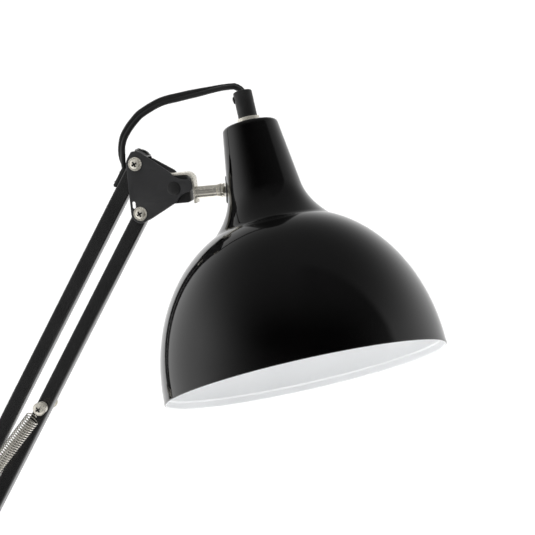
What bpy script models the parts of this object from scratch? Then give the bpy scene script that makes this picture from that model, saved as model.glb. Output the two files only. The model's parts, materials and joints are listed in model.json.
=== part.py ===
"""Swing arm desk lamp: weighted base, two parallelogram arms, head bracket and a swivelling bell shade.

Metres, +Z up. The origin is the centre of the base's underside and the arms move in the XZ plane.
"""

import math

import bmesh
import bpy
from mathutils import Matrix, Vector

# Driving dimensions, in metres and degrees.
GAP = 0.0003
TUBE = 0.0105
TUBE_WALL = 0.0012
TUBE_CORNER = 0.0015
TAIL = 0.008
HEAD_TAIL = 0.0085
PIVOT_SHANK = 0.002
PIVOT_HOLE = 0.0023
LOWER_LENGTH = 0.300
LOWER_ANGLE = -25.0
UPPER_LENGTH = 0.310
UPPER_ANGLE = 27.6
PLATE = 0.0015
PLATE_INNER = TUBE / 2 + GAP
PLATE_OUTER = PLATE_INNER + PLATE
PLATE_CORNER = 0.008
HEAD_CORNER = 0.0069
HEAD_TOP_CORNER = 0.0090
# Each starts with the angle where the top corner begins, then the points before it.
NEAR_SHOULDER = [57.7]
FAR_SHOULDER = [18.0, (0.0093, 0.0028)]
SPRING_Y = 0.0123
SPRING_RADIUS = 0.005
HOOK = 0.009
BASE_RADIUS = 0.100
COVER_TOP = 0.0225
SHEET = 0.0012

# Pivot centres, in the plane of the arms.
BASE_REAR = Vector((-0.013, 0, 0.058))
BASE_FRONT = Vector((0.013, 0, 0.058))
HEAD_PAIR = Vector((0.00365, 0, -0.0354))
ELBOW_RISE = Vector((0, 0, 0.020))
KNUCKLE_OFFSET = Vector((0.0284, 0, -0.0164))
UPPER_BOLT_DOWN = 0.1631
LOWER_BOLT_UP = 0.150

# Head: the stem rises a little and the shade hangs from it, turned about the stem.
NOSE_ANGLE = 7.3
STEM_DROP = 0.005
STEM_RADIUS = 0.0043
THREAD_RADIUS = 0.0026
COLLAR_RADIUS = 0.0049
WEB_FACE = 0.0144
WALL_AT = 0.0378
NECK_TILT = 9.8
SHADE_TURN = -14.5

# Shade: heights are measured down from the top of the neck.
STEM_HEIGHT = 0.0413
NECK_TOP_RADIUS = 0.0199
NECK_FLAT_RADIUS = 0.0155
CONE_START = 0.0035
CONE_END = 0.0484
CONE_SLOPE = 0.141
FLARE_CURVE = 16.04
CREASE = 0.0754
RIM_HEIGHT = 0.1818
RIM_RADIUS = 0.1000
DOME_LENGTH = 0.1137
DOME_DROP = 0.0900

# Cord grip on top of the neck, and its side screw.
GRIP_RADIUS = 0.0067
GRIP_LOW = 0.0042
GRIP_TOP = 0.0238
GRIP_SCREW_Z = 0.0190
NECK_WASHER_RADIUS = 0.0080
SADDLE_HIGH = 0.0096
SADDLE_WIDE = 0.0054

# Cable sleeves on the backs of the rear tubes.
SLEEVE_LENGTH = 0.0148
SLEEVE_PROUD = 0.0024
SLEEVE_WIDTH = 0.0076

# Mains lead: a flat lead on the table, an inline switch, a coil and a flat plug.
CORD_RADIUS = 0.0024
TABLE_CORD = 0.0026
COIL_CENTRE = Vector((-0.157, 0.060, 0))
COIL_INNER = 0.0240
COIL_OUTER = 0.0434
COIL_HEIGHT = 0.0080
SWITCH_CENTRE = Vector((-0.170, -0.078, 0))
SWITCH_SIZE = (0.025, 0.060, 0.0165)
ROCKER_PIVOT = SWITCH_CENTRE + Vector((0, 0, 0.0152))
ROCKER_REST = 7.0
GLAND_Z = 0.0058
PLUG_REAR = Vector((-0.098, 0.1085, 0.0058))


def along(angle):
    """Unit vector at this many degrees from vertical, towards +X."""
    return Vector((math.sin(math.radians(angle)), 0, math.cos(math.radians(angle))))


def across(angle):
    """Unit vector square to along(angle), towards -X: the back of an arm."""
    return Vector((-math.cos(math.radians(angle)), 0, math.sin(math.radians(angle))))


def turn(angle, axis):
    return Matrix.Rotation(math.radians(angle), 4, axis)


def shift(x, y, z):
    return Matrix.Translation(Vector((x, y, z)))


ELBOW_LOW_REAR = BASE_REAR + along(LOWER_ANGLE) * LOWER_LENGTH
ELBOW_LOW_FRONT = BASE_FRONT + along(LOWER_ANGLE) * LOWER_LENGTH
ELBOW_HIGH_FRONT = ELBOW_LOW_FRONT + ELBOW_RISE
ELBOW_HIGH_REAR = ELBOW_HIGH_FRONT - HEAD_PAIR
HEAD_REAR = ELBOW_HIGH_REAR + along(UPPER_ANGLE) * UPPER_LENGTH
HEAD_FRONT = HEAD_REAR + HEAD_PAIR
KNUCKLE = HEAD_REAR + KNUCKLE_OFFSET
UPPER_BOLT = HEAD_FRONT - along(UPPER_ANGLE) * UPPER_BOLT_DOWN
LOWER_BOLT = BASE_REAR + along(LOWER_ANGLE) * LOWER_BOLT_UP
KNUCKLE_PLACE = Matrix.Translation(KNUCKLE) @ turn(-NOSE_ANGLE, "Y")
STEM_PLACE = KNUCKLE_PLACE @ shift(0, 0, -STEM_DROP)


def shade_radius(height):
    """Outer radius of the shade at a height below the neck's top."""
    if height <= CONE_END:
        return NECK_TOP_RADIUS + CONE_SLOPE * max(0, height - CONE_START)
    if height <= CREASE:
        over = height - CONE_END
        return shade_radius(CONE_END) + CONE_SLOPE * over + FLARE_CURVE * over * over
    share = (RIM_HEIGHT - height) / DOME_LENGTH
    return RIM_RADIUS - DOME_DROP * (1 - math.sqrt(1 - share * share))


SHADE_PLACE = (
    STEM_PLACE
    @ turn(SHADE_TURN, "X")
    @ shift(WALL_AT, 0, 0)
    @ turn(-NECK_TILT, "Y")
    @ shift(shade_radius(STEM_HEIGHT), 0, STEM_HEIGHT)
)

BLACK_PAINT = ((0.018, 0.018, 0.019), 0.42, 0.0)
GLOSS_BLACK = ((0.010, 0.010, 0.011), 0.12, 0.0)
NICKEL = ((0.68, 0.65, 0.58), 0.25, 1.0)
SPRING_STEEL = ((0.62, 0.60, 0.54), 0.30, 1.0)
CAST_IRON = ((0.06, 0.06, 0.06), 0.80, 0.6)
RUBBER = ((0.020, 0.020, 0.020), 0.75, 0.0)
PLASTIC = ((0.022, 0.022, 0.023), 0.45, 0.0)
CORD = ((0.020, 0.020, 0.021), 0.50, 0.0)
CERAMIC = ((0.80, 0.79, 0.76), 0.35, 0.0)
GLASS = ((0.92, 0.92, 0.90), 0.25, 0.0)


def clear_scene():
    for old in list(bpy.data.objects):
        bpy.data.objects.remove(old, do_unlink=True)


clear_scene()
LAMP = bpy.data.collections.new("swing_arm_desk_lamp")
CUTTERS = bpy.data.collections.new("cutters")
bpy.context.scene.collection.children.link(LAMP)
bpy.context.scene.collection.children.link(CUTTERS)


def joint(name, place, parent=None):
    """An empty on a joint's axis, which the pieces of the moving body are parented to."""
    empty = bpy.data.objects.new("joint_" + name, None)
    empty.empty_display_size = 0.02
    LAMP.objects.link(empty)
    empty.parent = parent
    if parent:
        empty.matrix_parent_inverse = parent.matrix_world.inverted()
    empty.matrix_world = Matrix.Translation(place)
    bpy.context.view_layer.update()
    return empty


def finish(obj, look, body):
    """Gives the object its own material and parents it, in place, to its body's joint."""
    colour, roughness, metallic = look
    material = bpy.data.materials.new(obj.name)
    material.use_nodes = True
    shader = material.node_tree.nodes["Principled BSDF"]
    shader.inputs["Base Color"].default_value = (*colour, 1)
    shader.inputs["Roughness"].default_value = roughness
    shader.inputs["Metallic"].default_value = metallic
    obj.data.materials.append(material)
    material.diffuse_color = (*colour, 1)
    if body:
        bpy.context.view_layer.update()
        obj.parent = body
        obj.matrix_parent_inverse = body.matrix_world.inverted()
    return obj


def from_bmesh(name, bm, collection=None):
    mesh = bpy.data.meshes.new(name)
    bm.to_mesh(mesh)
    bm.free()
    obj = bpy.data.objects.new(name, mesh)
    (collection or LAMP).objects.link(obj)
    return obj


def soften(obj, width, segments=2):
    """Rounds the object's sharp edges."""
    bevel = obj.modifiers.new("edges", "BEVEL")
    bevel.width = width
    bevel.segments = segments
    bevel.limit_method = "ANGLE"
    bevel.angle_limit = math.radians(50)
    return obj


def block(name, size, place, collection=None):
    bm = bmesh.new()
    bmesh.ops.create_cube(bm, size=1, matrix=Matrix.Diagonal((*size, 1)))
    obj = from_bmesh(name, bm, collection)
    obj.matrix_world = place
    return obj


def turned(name, profile, place, steps=32, closed=False, collection=None):
    """A profile of (radius, height) points, from the top down, swept round local Z."""
    mesh = bpy.data.meshes.new(name)
    points = [(radius, 0, height) for radius, height in profile]
    edges = [(i, i + 1) for i in range(len(points) - 1)]
    if closed:
        edges.append((len(points) - 1, 0))
    mesh.from_pydata(points, edges, [])
    obj = bpy.data.objects.new(name, mesh)
    (collection or LAMP).objects.link(obj)
    screw = obj.modifiers.new("turn", "SCREW")
    screw.steps = steps
    screw.render_steps = steps
    screw.use_merge_vertices = True
    screw.merge_threshold = 0.00001
    screw.use_smooth_shade = True
    obj.matrix_world = place
    return obj


def flat(name, outline, holes, thickness, place, openings=()):
    """A flat outline in local XY with round holes (x, y, radius), extruded along local Z."""
    curve = bpy.data.curves.new(name, "CURVE")
    curve.dimensions = "2D"
    curve.fill_mode = "BOTH"
    curve.extrude = thickness / 2
    loops = [outline, *openings]
    loops += [arc((x, y), radius, 0, 360, 12)[:-1] for x, y, radius in holes]
    for loop in loops:
        spline = curve.splines.new("POLY")
        spline.points.add(len(loop) - 1)
        for point, (x, y) in zip(spline.points, loop, strict=True):
            point.co = (x, y, 0, 1)
        spline.use_cyclic_u = True
    obj = bpy.data.objects.new(name, curve)
    LAMP.objects.link(obj)
    obj.matrix_world = place
    return obj


def to_mesh(obj):
    """The same shape as a mesh object, so that it can be cut."""
    bpy.context.view_layer.update()
    graph = bpy.context.evaluated_depsgraph_get()
    mesh = bpy.data.meshes.new_from_object(obj.evaluated_get(graph))
    bm = bmesh.new()
    bm.from_mesh(mesh)
    bmesh.ops.remove_doubles(bm, verts=bm.verts, dist=0.000001)
    bm.to_mesh(mesh)
    bm.free()
    name = obj.name
    place = obj.matrix_world.copy()
    bpy.data.objects.remove(obj)
    made = bpy.data.objects.new(name, mesh)
    made.data.name = name
    made.matrix_world = place
    LAMP.objects.link(made)
    return made


def combine(obj, other, operation):
    """Cuts, joins or intersects obj with a helper object, which the render leaves out."""
    for user in list(other.users_collection):
        user.objects.unlink(other)
    CUTTERS.objects.link(other)
    other.hide_render = True
    other.display_type = "WIRE"
    step = obj.modifiers.new(operation.lower(), "BOOLEAN")
    step.operation = operation
    step.object = other
    return obj


def drill(obj, holes):
    """Cuts round holes, each (centre, direction, radius, length) in the world."""
    bm = bmesh.new()
    for centre, direction, radius, length in holes:
        facing = direction.to_track_quat("Z", "Y").to_matrix().to_4x4()
        bmesh.ops.create_cone(
            bm,
            cap_ends=True,
            segments=12,
            radius1=radius,
            radius2=radius,
            depth=length,
            matrix=Matrix.Translation(centre) @ facing,
        )
    return combine(obj, from_bmesh(obj.name + "_holes", bm, CUTTERS), "DIFFERENCE")


def arc(centre, radius, start, end, steps):
    """Points on a circle from start to end degrees, both included."""
    angles = [math.radians(start + (end - start) * i / steps) for i in range(steps + 1)]
    x, y = centre
    return [(x + radius * math.cos(a), y + radius * math.sin(a)) for a in angles]


def arc_through(a, b, c, steps):
    """Points on the circle through three points, from a to c."""
    ax, ay = a
    bx, by = b[0] - ax, b[1] - ay
    cx, cy = c[0] - ax, c[1] - ay
    double = 2 * (bx * cy - by * cx)
    ux = (cy * (bx * bx + by * by) - by * (cx * cx + cy * cy)) / double
    uy = (bx * (cx * cx + cy * cy) - cx * (bx * bx + by * by)) / double
    start = math.degrees(math.atan2(-uy, -ux))
    end = math.degrees(math.atan2(cy - uy, cx - ux))
    if double > 0 and end < start:
        end += 360
    if double < 0 and end > start:
        end -= 360
    return arc((ax + ux, ay + uy), math.hypot(ux, uy), start, end, steps)


def round_hull(centres, radius, steps=4):
    """Outline of equal circles at centres, in anticlockwise order, wrapped by straight edges."""
    outline = []
    for i, here in enumerate(centres):
        before = centres[i - 1]
        after = centres[(i + 1) % len(centres)]
        start = math.degrees(math.atan2(here[1] - before[1], here[0] - before[0])) - 90
        end = math.degrees(math.atan2(after[1] - here[1], after[0] - here[0])) - 90
        if end < start:
            end += 360
        outline += arc(here, radius, start, end, steps)
    return outline


def upright(y):
    """Turns local XY into the plane of the arms, at this Y."""
    return shift(0, y, 0) @ turn(90, "X")


def plate(name, outline, holes, side, body, openings=()):
    """A plate in front of the tubes, side -1, or behind them, side 1."""
    place = upright(side * (PLATE_INNER + PLATE / 2))
    finish(flat(name, outline, holes, PLATE, place, openings), BLACK_PAINT, body)


def flat_point(v):
    return (v.x, v.z)


def pivot(name, centre, body, reach=PLATE_OUTER):
    """Pan head screw with its washer, its shank through the pair of plates, and a nut."""
    face = reach + GAP
    profile = [
        (0, face + 0.0031),
        (0.0027, face + 0.0027),
        (0.0041, face + 0.0016),
        (0.0043, face + 0.0006),
        (0.0049, face + 0.0006),
        (0.0049, face),
        (PIVOT_SHANK, face),
        (PIVOT_SHANK, -face),
        (0.0040, -face),
        (0.0040, -face - 0.0034),
        (0, -face - 0.0038),
    ]
    place = Matrix.Translation(centre) @ turn(90, "X")
    return finish(turned(name, profile, place, 12), NICKEL, body)


def spring_bolt(name, centre, body, inner):
    """Long bolt with a collar, a groove for a spring's eye, and a head on each side."""
    half = [
        (0, 0.0168),
        (0.0033, 0.0163),
        (0.0045, 0.0151),
        (0.0045, 0.0140),
        (PIVOT_SHANK, 0.0140),
        (PIVOT_SHANK, 0.0106),
        (0.0042, 0.0106),
        (0.0042, inner + GAP),
        (PIVOT_SHANK, inner + GAP),
    ]
    profile = half + [(radius, -height) for radius, height in reversed(half)]
    place = Matrix.Translation(centre) @ turn(90, "X")
    return finish(turned(name, profile, place, 12), NICKEL, body)


def rounded_square(side, corner, steps=2):
    half = side / 2 - corner
    centres = [(half, half), (-half, half), (-half, -half), (half, -half)]
    outline = []
    for i, centre in enumerate(centres):
        outline += arc(centre, corner, 90 * i, 90 * (i + 1), steps)
    return outline


def arm_tube(name, low, high, angle, body, bolts, sleeves, top_tail=TAIL):
    """Square tube past both pivots, drilled for its pivots, bolts and cable sleeves."""
    middle = (low + high + along(angle) * (top_tail - TAIL)) / 2
    place = Matrix.Translation(middle) @ turn(angle, "Y")
    half = TUBE / 2 - TUBE_WALL
    inner = [(half, half), (-half, half), (-half, -half), (half, -half)]
    length = (high - low).length + TAIL + top_tail
    tube = to_mesh(flat(name, rounded_square(TUBE, TUBE_CORNER), [], length, place, [inner]))
    holes = [(c, Vector((0, 1, 0)), PIVOT_HOLE, 0.05) for c in (low, high, *bolts)]
    for centre in sleeves:
        holes.append((centre + across(angle) * TUBE / 2, across(angle), 0.0029, TUBE_WALL * 4))
    return finish(drill(tube, holes), BLACK_PAINT, body)


def cable_sleeve(name, centre, angle, body):
    """Rubber cable entry on the back wall of a tube, with a boss through the wall."""
    proud = TUBE / 2 + GAP + SLEEVE_PROUD / 2
    place = Matrix.Translation(centre + across(angle) * proud) @ turn(angle, "Y")
    sleeve = soften(block(name, (SLEEVE_PROUD, SLEEVE_WIDTH, SLEEVE_LENGTH), place), 0.0006, 1)
    bm = bmesh.new()
    facing = across(angle).to_track_quat("Z", "Y").to_matrix().to_4x4()
    middle = centre + across(angle) * (TUBE / 2 - 0.0002)
    bmesh.ops.create_cone(
        bm,
        cap_ends=True,
        segments=12,
        radius1=0.0025,
        radius2=0.0025,
        depth=0.0042,
        matrix=Matrix.Translation(middle) @ facing,
    )
    boss = from_bmesh(name + "_boss", bm, CUTTERS)
    return finish(combine(sleeve, boss, "UNION"), RUBBER, body)


def spring(name, start, end, y, body):
    """Plain envelope of an extended tension spring between its two hooks."""
    run = (end - start).normalized()
    low = start + run * HOOK
    high = end - run * HOOK
    middle = (low + high) / 2 + Vector((0, y, 0))
    bm = bmesh.new()
    bmesh.ops.create_cone(
        bm,
        cap_ends=True,
        segments=12,
        radius1=SPRING_RADIUS,
        radius2=SPRING_RADIUS,
        depth=(high - low).length,
        matrix=Matrix.Translation(middle) @ run.to_track_quat("Z", "Y").to_matrix().to_4x4(),
    )
    return finish(from_bmesh(name, bm), SPRING_STEEL, body)


def smooth_route(route, count):
    """Points at even steps along a smooth curve through the route's own points."""
    points = [Vector(p) for p in route]
    ends = [points[0] * 2 - points[1], *points, points[-1] * 2 - points[-2]]
    fine = []
    for a, b, c, d in zip(ends, ends[1:], ends[2:], ends[3:], strict=False):
        for i in range(16):
            t = i / 16
            fine.append(
                0.5
                * (
                    2 * b
                    + (c - a) * t
                    + (2 * a - 5 * b + 4 * c - d) * t * t
                    + (3 * b - a - 3 * c + d) * t * t * t
                )
            )
    fine.append(points[-1])
    lengths = [0.0]
    for a, b in zip(fine, fine[1:], strict=False):
        lengths.append(lengths[-1] + (b - a).length)
    even = []
    for i in range(count):
        target = lengths[-1] * i / (count - 1)
        at = next((k for k in range(1, len(fine)) if lengths[k] >= target), len(fine) - 1)
        span = max(lengths[at] - lengths[at - 1], 1e-9)
        even.append(fine[at - 1].lerp(fine[at], (target - lengths[at - 1]) / span))
    return even


def cord(name, route, count, body):
    """Round tube along a smooth curve through the route."""
    curve = bpy.data.curves.new(name, "CURVE")
    curve.dimensions = "3D"
    curve.bevel_depth = CORD_RADIUS
    curve.bevel_resolution = 2
    curve.use_fill_caps = True
    spline = curve.splines.new("POLY")
    spline.points.add(count - 1)
    for point, place in zip(spline.points, smooth_route(route, count), strict=True):
        point.co = (*place, 1)
    obj = bpy.data.objects.new(name, curve)
    LAMP.objects.link(obj)
    return finish(obj, CORD, body)


# ---------------------------------------------------------------- base


def make_base(root):
    pad = [(0, 0.0015), (0.096, 0.0015), (0.096, 0), (0, 0)]
    finish(turned("base_pad", pad, Matrix(), 32), RUBBER, root)
    weight = [
        (0.014, 0.0115),
        (0.086, 0.0115),
        (0.088, 0.0100),
        (0.088, 0.0018),
        (0.014, 0.0018),
    ]
    finish(turned("base_weight", weight, Matrix(), 32, closed=True), CAST_IRON, root)
    cover = [
        (0.0093, COVER_TOP),
        (0.040, 0.0205),
        (0.070, 0.0175),
        (0.088, 0.0148),
        (0.0965, 0.0115),
        (BASE_RADIUS, 0.0050),
        (BASE_RADIUS, 0.0008),
    ]
    shell = turned("base_cover", cover, Matrix(), 32)
    wall = shell.modifiers.new("wall", "SOLIDIFY")
    wall.thickness = SHEET
    wall.offset = -1
    gland_axis = Vector((-BASE_RADIUS, 0, GLAND_Z))
    drill(shell, [(gland_axis, Vector((-1, 0, 0)), 0.0041, 0.012)])
    finish(shell, BLACK_PAINT, root)
    bush = [
        (0.0130, COVER_TOP + 0.0020),
        (0.0130, COVER_TOP + GAP),
        (0.0090, COVER_TOP + GAP),
        (0.0090, 0.0150),
        (0.0063, 0.0150),
        (0.0063, COVER_TOP + 0.0020),
    ]
    finish(turned("swivel_bush", bush, Matrix(), 24, closed=True), PLASTIC, root)


def make_gland(root):
    """Tapered strain relief through the back of the cover, pointing along -X."""
    profile = [
        (0, 0.128),
        (0.0031, 0.128),
        (0.0041, 0.104),
        (0.0048, 0.1025),
        (0.0048, 0.1004),
        (0.0038, 0.1004),
        (0.0038, 0.0970),
        (0, 0.0970),
    ]
    place = shift(0, 0, GLAND_Z) @ turn(-90, "Y")
    finish(turned("lead_gland", profile, place, 20), RUBBER, root)


def make_lead(root):
    half = SWITCH_SIZE[1] / 2
    switch_back = SWITCH_CENTRE + Vector((0, half + GAP, TABLE_CORD))
    switch_front = SWITCH_CENTRE + Vector((0, -half - 2 * GAP, TABLE_CORD))
    run_a = [
        (-0.1286, 0, GLAND_Z),
        (-0.1360, -0.0006, 0.0046),
        (-0.1450, -0.0040, 0.0030),
        (-0.1560, -0.0120, TABLE_CORD),
        (-0.1650, -0.0250, TABLE_CORD),
        (-0.1695, -0.0380, TABLE_CORD),
        tuple(switch_back),
    ]
    cord("lead_run_a", run_a, 7, root)
    run_b = [
        tuple(switch_front),
        (-0.1702, -0.1180, TABLE_CORD),
        (-0.1755, -0.1330, TABLE_CORD),
        (-0.1880, -0.1430, TABLE_CORD),
        (-0.2030, -0.1420, TABLE_CORD),
        (-0.2140, -0.1310, TABLE_CORD),
        (-0.2185, -0.1130, TABLE_CORD),
        (-0.2180, -0.0850, TABLE_CORD),
        (-0.2110, -0.0550, TABLE_CORD),
        (-0.2040, -0.0250, TABLE_CORD),
        (-0.2020, 0.0050, TABLE_CORD),
        (-0.2030, 0.0350, TABLE_CORD),
        (-0.2032, 0.0600, TABLE_CORD),
    ]
    cord("lead_run_b", run_b, 28, root)
    ring = [
        (COIL_OUTER - 0.001, COIL_HEIGHT),
        (COIL_OUTER, COIL_HEIGHT - 0.001),
        (COIL_OUTER, 0.0012),
        (COIL_OUTER - 0.001, 0.0002),
        (COIL_INNER, 0.0002),
        (COIL_INNER, COIL_HEIGHT),
    ]
    coil_place = Matrix.Translation(COIL_CENTRE)
    finish(turned("lead_coil", ring, coil_place, 28, closed=True), CORD, root)
    tail_start = COIL_CENTRE + Vector((0.002, COIL_OUTER + CORD_RADIUS + GAP, 0.0050))
    tail = [
        tuple(tail_start),
        (-0.1430, 0.1066, 0.0034),
        (-0.1300, 0.1078, TABLE_CORD),
        (-0.1190, 0.1084, 0.0036),
        (PLUG_REAR.x - 0.0127, PLUG_REAR.y, PLUG_REAR.z),
    ]
    cord("lead_tail", tail, 6, root)


def make_plug(root):
    """Flat two-pin plug lying on its side, pins along +X."""
    body = [
        (-0.0120, -0.0030),
        (0.0040, -0.0048),
        (0.0180, -0.0080),
        (0.0240, -0.0088),
        (0.0240, 0.0088),
        (0.0180, 0.0080),
        (0.0040, 0.0048),
        (-0.0120, 0.0030),
    ]
    plug = flat("lead_plug", body, [], 0.0110, Matrix.Translation(PLUG_REAR))
    plug = to_mesh(plug)
    bm = bmesh.new()
    for side in (-1, 1):
        bmesh.ops.create_cone(
            bm,
            cap_ends=True,
            segments=14,
            radius1=0.0020,
            radius2=0.0020,
            depth=0.0210,
            matrix=Matrix.Translation(PLUG_REAR) @ shift(0.0325, side * 0.0062, 0) @ turn(90, "Y"),
        )
    combine(plug, from_bmesh("plug_pins", bm, CUTTERS), "UNION")
    finish(plug, PLASTIC, root)


def make_switch(root, rocker_body):
    width, length, height = SWITCH_SIZE
    place = Matrix.Translation(SWITCH_CENTRE) @ shift(0, 0, height / 2 + 0.0002)
    housing = soften(block("switch_housing", SWITCH_SIZE, place), 0.0030, 3)
    pocket_place = Matrix.Translation(SWITCH_CENTRE) @ shift(0, 0, height)
    pocket = block("switch_pocket", (0.0098, 0.0182, 0.0110), pocket_place, CUTTERS)
    finish(combine(housing, pocket, "DIFFERENCE"), PLASTIC, root)
    outline = [
        (-0.0070, -0.0020),
        (0.0070, -0.0020),
        (0.0080, 0.0030),
        (0.0, 0.0016),
        (-0.0080, 0.0030),
    ]
    face_x = turn(90, "Z") @ turn(90, "X") @ turn(ROCKER_REST, "Z")
    rocker_place = Matrix.Translation(ROCKER_PIVOT) @ face_x
    finish(flat("switch_rocker", outline, [], 0.0090, rocker_place), PLASTIC, rocker_body)


# ---------------------------------------------------------------- post and lower arm


def make_post(post):
    profile = [
        (0, 0.0300),
        (0.0060, 0.0300),
        (0.0060, 0.0147),
        (0.0113, 0.0147),
        (0.0113, 0.0122),
        (0, 0.0122),
    ]
    stem = turned("swivel_post", profile, Matrix(), 20)
    head = block("post_head", (0.0190, 0.0100, 0.0170), shift(0, 0, 0.0370), CUTTERS)
    combine(stem, head, "UNION")
    drill(
        stem,
        [
            (Vector((0, 0, 0.020)), Vector((0, 0, 1)), 0.0034, 0.040),
            (Vector((-0.0060, 0, 0.0370)), Vector((-1, 0, 0)), 0.0034, 0.012),
        ],
    )
    finish(stem, BLACK_PAINT, post)
    low = [(-0.0090, 0.0385), (0.0090, 0.0385)]
    centres = [*low, flat_point(BASE_FRONT), flat_point(BASE_REAR)]
    holes = [(p.x, p.z, PIVOT_HOLE) for p in (BASE_REAR, BASE_FRONT)]
    outline = round_hull(centres, PLATE_CORNER)
    plate("base_plate_near", outline, holes, -1, post)
    plate("base_plate_far", outline, holes, 1, post)
    pivot("base_pivot_rear", BASE_REAR, post)
    spring_bolt("base_pivot_front", BASE_FRONT, post, PLATE_OUTER)
    grommet = [
        (0.0025, 0.0128),
        (0.0038, 0.0124),
        (0.0046, 0.0112),
        (0.0046, 0.0098),
        (0.0031, 0.0098),
        (0.0031, 0.0052),
        (0, 0.0052),
    ]
    place = shift(0, 0, 0.0370) @ turn(-90, "Y")
    finish(turned("post_grommet", [(0, 0.0128), *grommet], place, 20), RUBBER, post)


def make_lower_arm(rear, front, springs):
    sleeve_low = BASE_REAR + along(LOWER_ANGLE) * 0.040
    sleeve_high = ELBOW_LOW_REAR - along(LOWER_ANGLE) * 0.044
    arm_tube(
        "lower_rear_tube",
        BASE_REAR,
        ELBOW_LOW_REAR,
        LOWER_ANGLE,
        rear,
        [LOWER_BOLT],
        [sleeve_low, sleeve_high],
    )
    cable_sleeve("lower_sleeve_bottom", sleeve_low, LOWER_ANGLE, rear)
    cable_sleeve("lower_sleeve_top", sleeve_high, LOWER_ANGLE, rear)
    spring_bolt("lower_spring_bolt", LOWER_BOLT, rear, TUBE / 2)
    arm_tube("lower_front_tube", BASE_FRONT, ELBOW_LOW_FRONT, LOWER_ANGLE, front, [], [])
    for name, side in (("lower_spring_near", -1), ("lower_spring_far", 1)):
        spring(name, BASE_FRONT, LOWER_BOLT, side * SPRING_Y, springs)


# ---------------------------------------------------------------- elbow and upper arm


def make_elbow(elbow):
    corners = [ELBOW_LOW_REAR, ELBOW_LOW_FRONT, ELBOW_HIGH_FRONT, ELBOW_HIGH_REAR]
    outline = round_hull([flat_point(p) for p in corners], PLATE_CORNER)
    holes = [(p.x, p.z, PIVOT_HOLE) for p in corners]
    plate("elbow_plate_near", outline, holes, -1, elbow)
    plate("elbow_plate_far", outline, holes, 1, elbow)
    pivot("elbow_pivot_low_rear", ELBOW_LOW_REAR, elbow)
    pivot("elbow_pivot_low_front", ELBOW_LOW_FRONT, elbow)
    pivot("elbow_pivot_high_front", ELBOW_HIGH_FRONT, elbow)
    spring_bolt("elbow_pivot_high_rear", ELBOW_HIGH_REAR, elbow, PLATE_OUTER)


def make_upper_arm(rear, front, springs):
    sleeve_low = ELBOW_HIGH_REAR + along(UPPER_ANGLE) * 0.034
    sleeve_high = HEAD_REAR - along(UPPER_ANGLE) * 0.0157
    arm_tube(
        "upper_rear_tube",
        ELBOW_HIGH_REAR,
        HEAD_REAR,
        UPPER_ANGLE,
        rear,
        [],
        [sleeve_low, sleeve_high],
        HEAD_TAIL,
    )
    cable_sleeve("upper_sleeve_bottom", sleeve_low, UPPER_ANGLE, rear)
    cable_sleeve("upper_sleeve_top", sleeve_high, UPPER_ANGLE, rear)
    arm_tube(
        "upper_front_tube",
        ELBOW_HIGH_FRONT,
        HEAD_FRONT,
        UPPER_ANGLE,
        front,
        [UPPER_BOLT],
        [],
        HEAD_TAIL,
    )
    spring_bolt("upper_spring_bolt", UPPER_BOLT, front, TUBE / 2)
    for name, side in (("upper_spring_near", -1), ("upper_spring_far", 1)):
        spring(name, ELBOW_HIGH_REAR, UPPER_BOLT, side * SPRING_Y, springs)


# ---------------------------------------------------------------- head


def head_outline(shoulder):
    """Three-cornered plate, scooped above and below its tongue; shoulder is where its top starts."""
    outline = arc((0, 0), HEAD_TOP_CORNER, shoulder[0], 112, 5)
    outline += arc((0, 0), HEAD_CORNER, 150, 186, 2)
    outline += arc((HEAD_PAIR.x, HEAD_PAIR.z), HEAD_CORNER, 186, 306, 6)
    outline.append((0.0276, -0.0276))
    outline += arc_through((0.0303, -0.0268), (0.0344, -0.0209), (0.0402, -0.0181), 5)
    outline += arc_through((0.0407, -0.0176), (0.0418, -0.0138), (0.0388, -0.0096), 4)
    outline += arc_through((0.0383, -0.0094), (0.0309, -0.0089), (0.0252, -0.0049), 5)
    outline += shoulder[1:]
    return [(HEAD_REAR.x + x, HEAD_REAR.z + z) for x, z in outline]


def make_head(head):
    holes = [
        (HEAD_REAR.x, HEAD_REAR.z, PIVOT_HOLE),
        (HEAD_FRONT.x, HEAD_FRONT.z, PIVOT_HOLE),
        (KNUCKLE.x, KNUCKLE.z, 0.0033),
    ]
    slot_low = HEAD_REAR + Vector((-0.0010, 0, -0.0308))
    slot_high = HEAD_REAR + Vector((-0.0013, 0, -0.0281))
    slot = [round_hull([flat_point(slot_low), flat_point(slot_high)], 0.0012)]
    plate("head_plate_near", head_outline(NEAR_SHOULDER), holes, -1, head, slot)
    plate("head_plate_far", head_outline(FAR_SHOULDER), holes, 1, head, slot)
    pivot("head_pivot_rear", HEAD_REAR, head)
    pivot("head_pivot_front", HEAD_FRONT, head)
    face = PLATE_OUTER + GAP
    half = [(0, face + 0.0006), (0.0046, face + 0.0006), (0.0050, face), (0.0030, face)]
    profile = half + [(radius, -height) for radius, height in reversed(half)]
    place = Matrix.Translation(KNUCKLE) @ turn(90, "X")
    finish(turned("knuckle_rivet", profile, place, 18), BLACK_PAINT, head)


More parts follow.
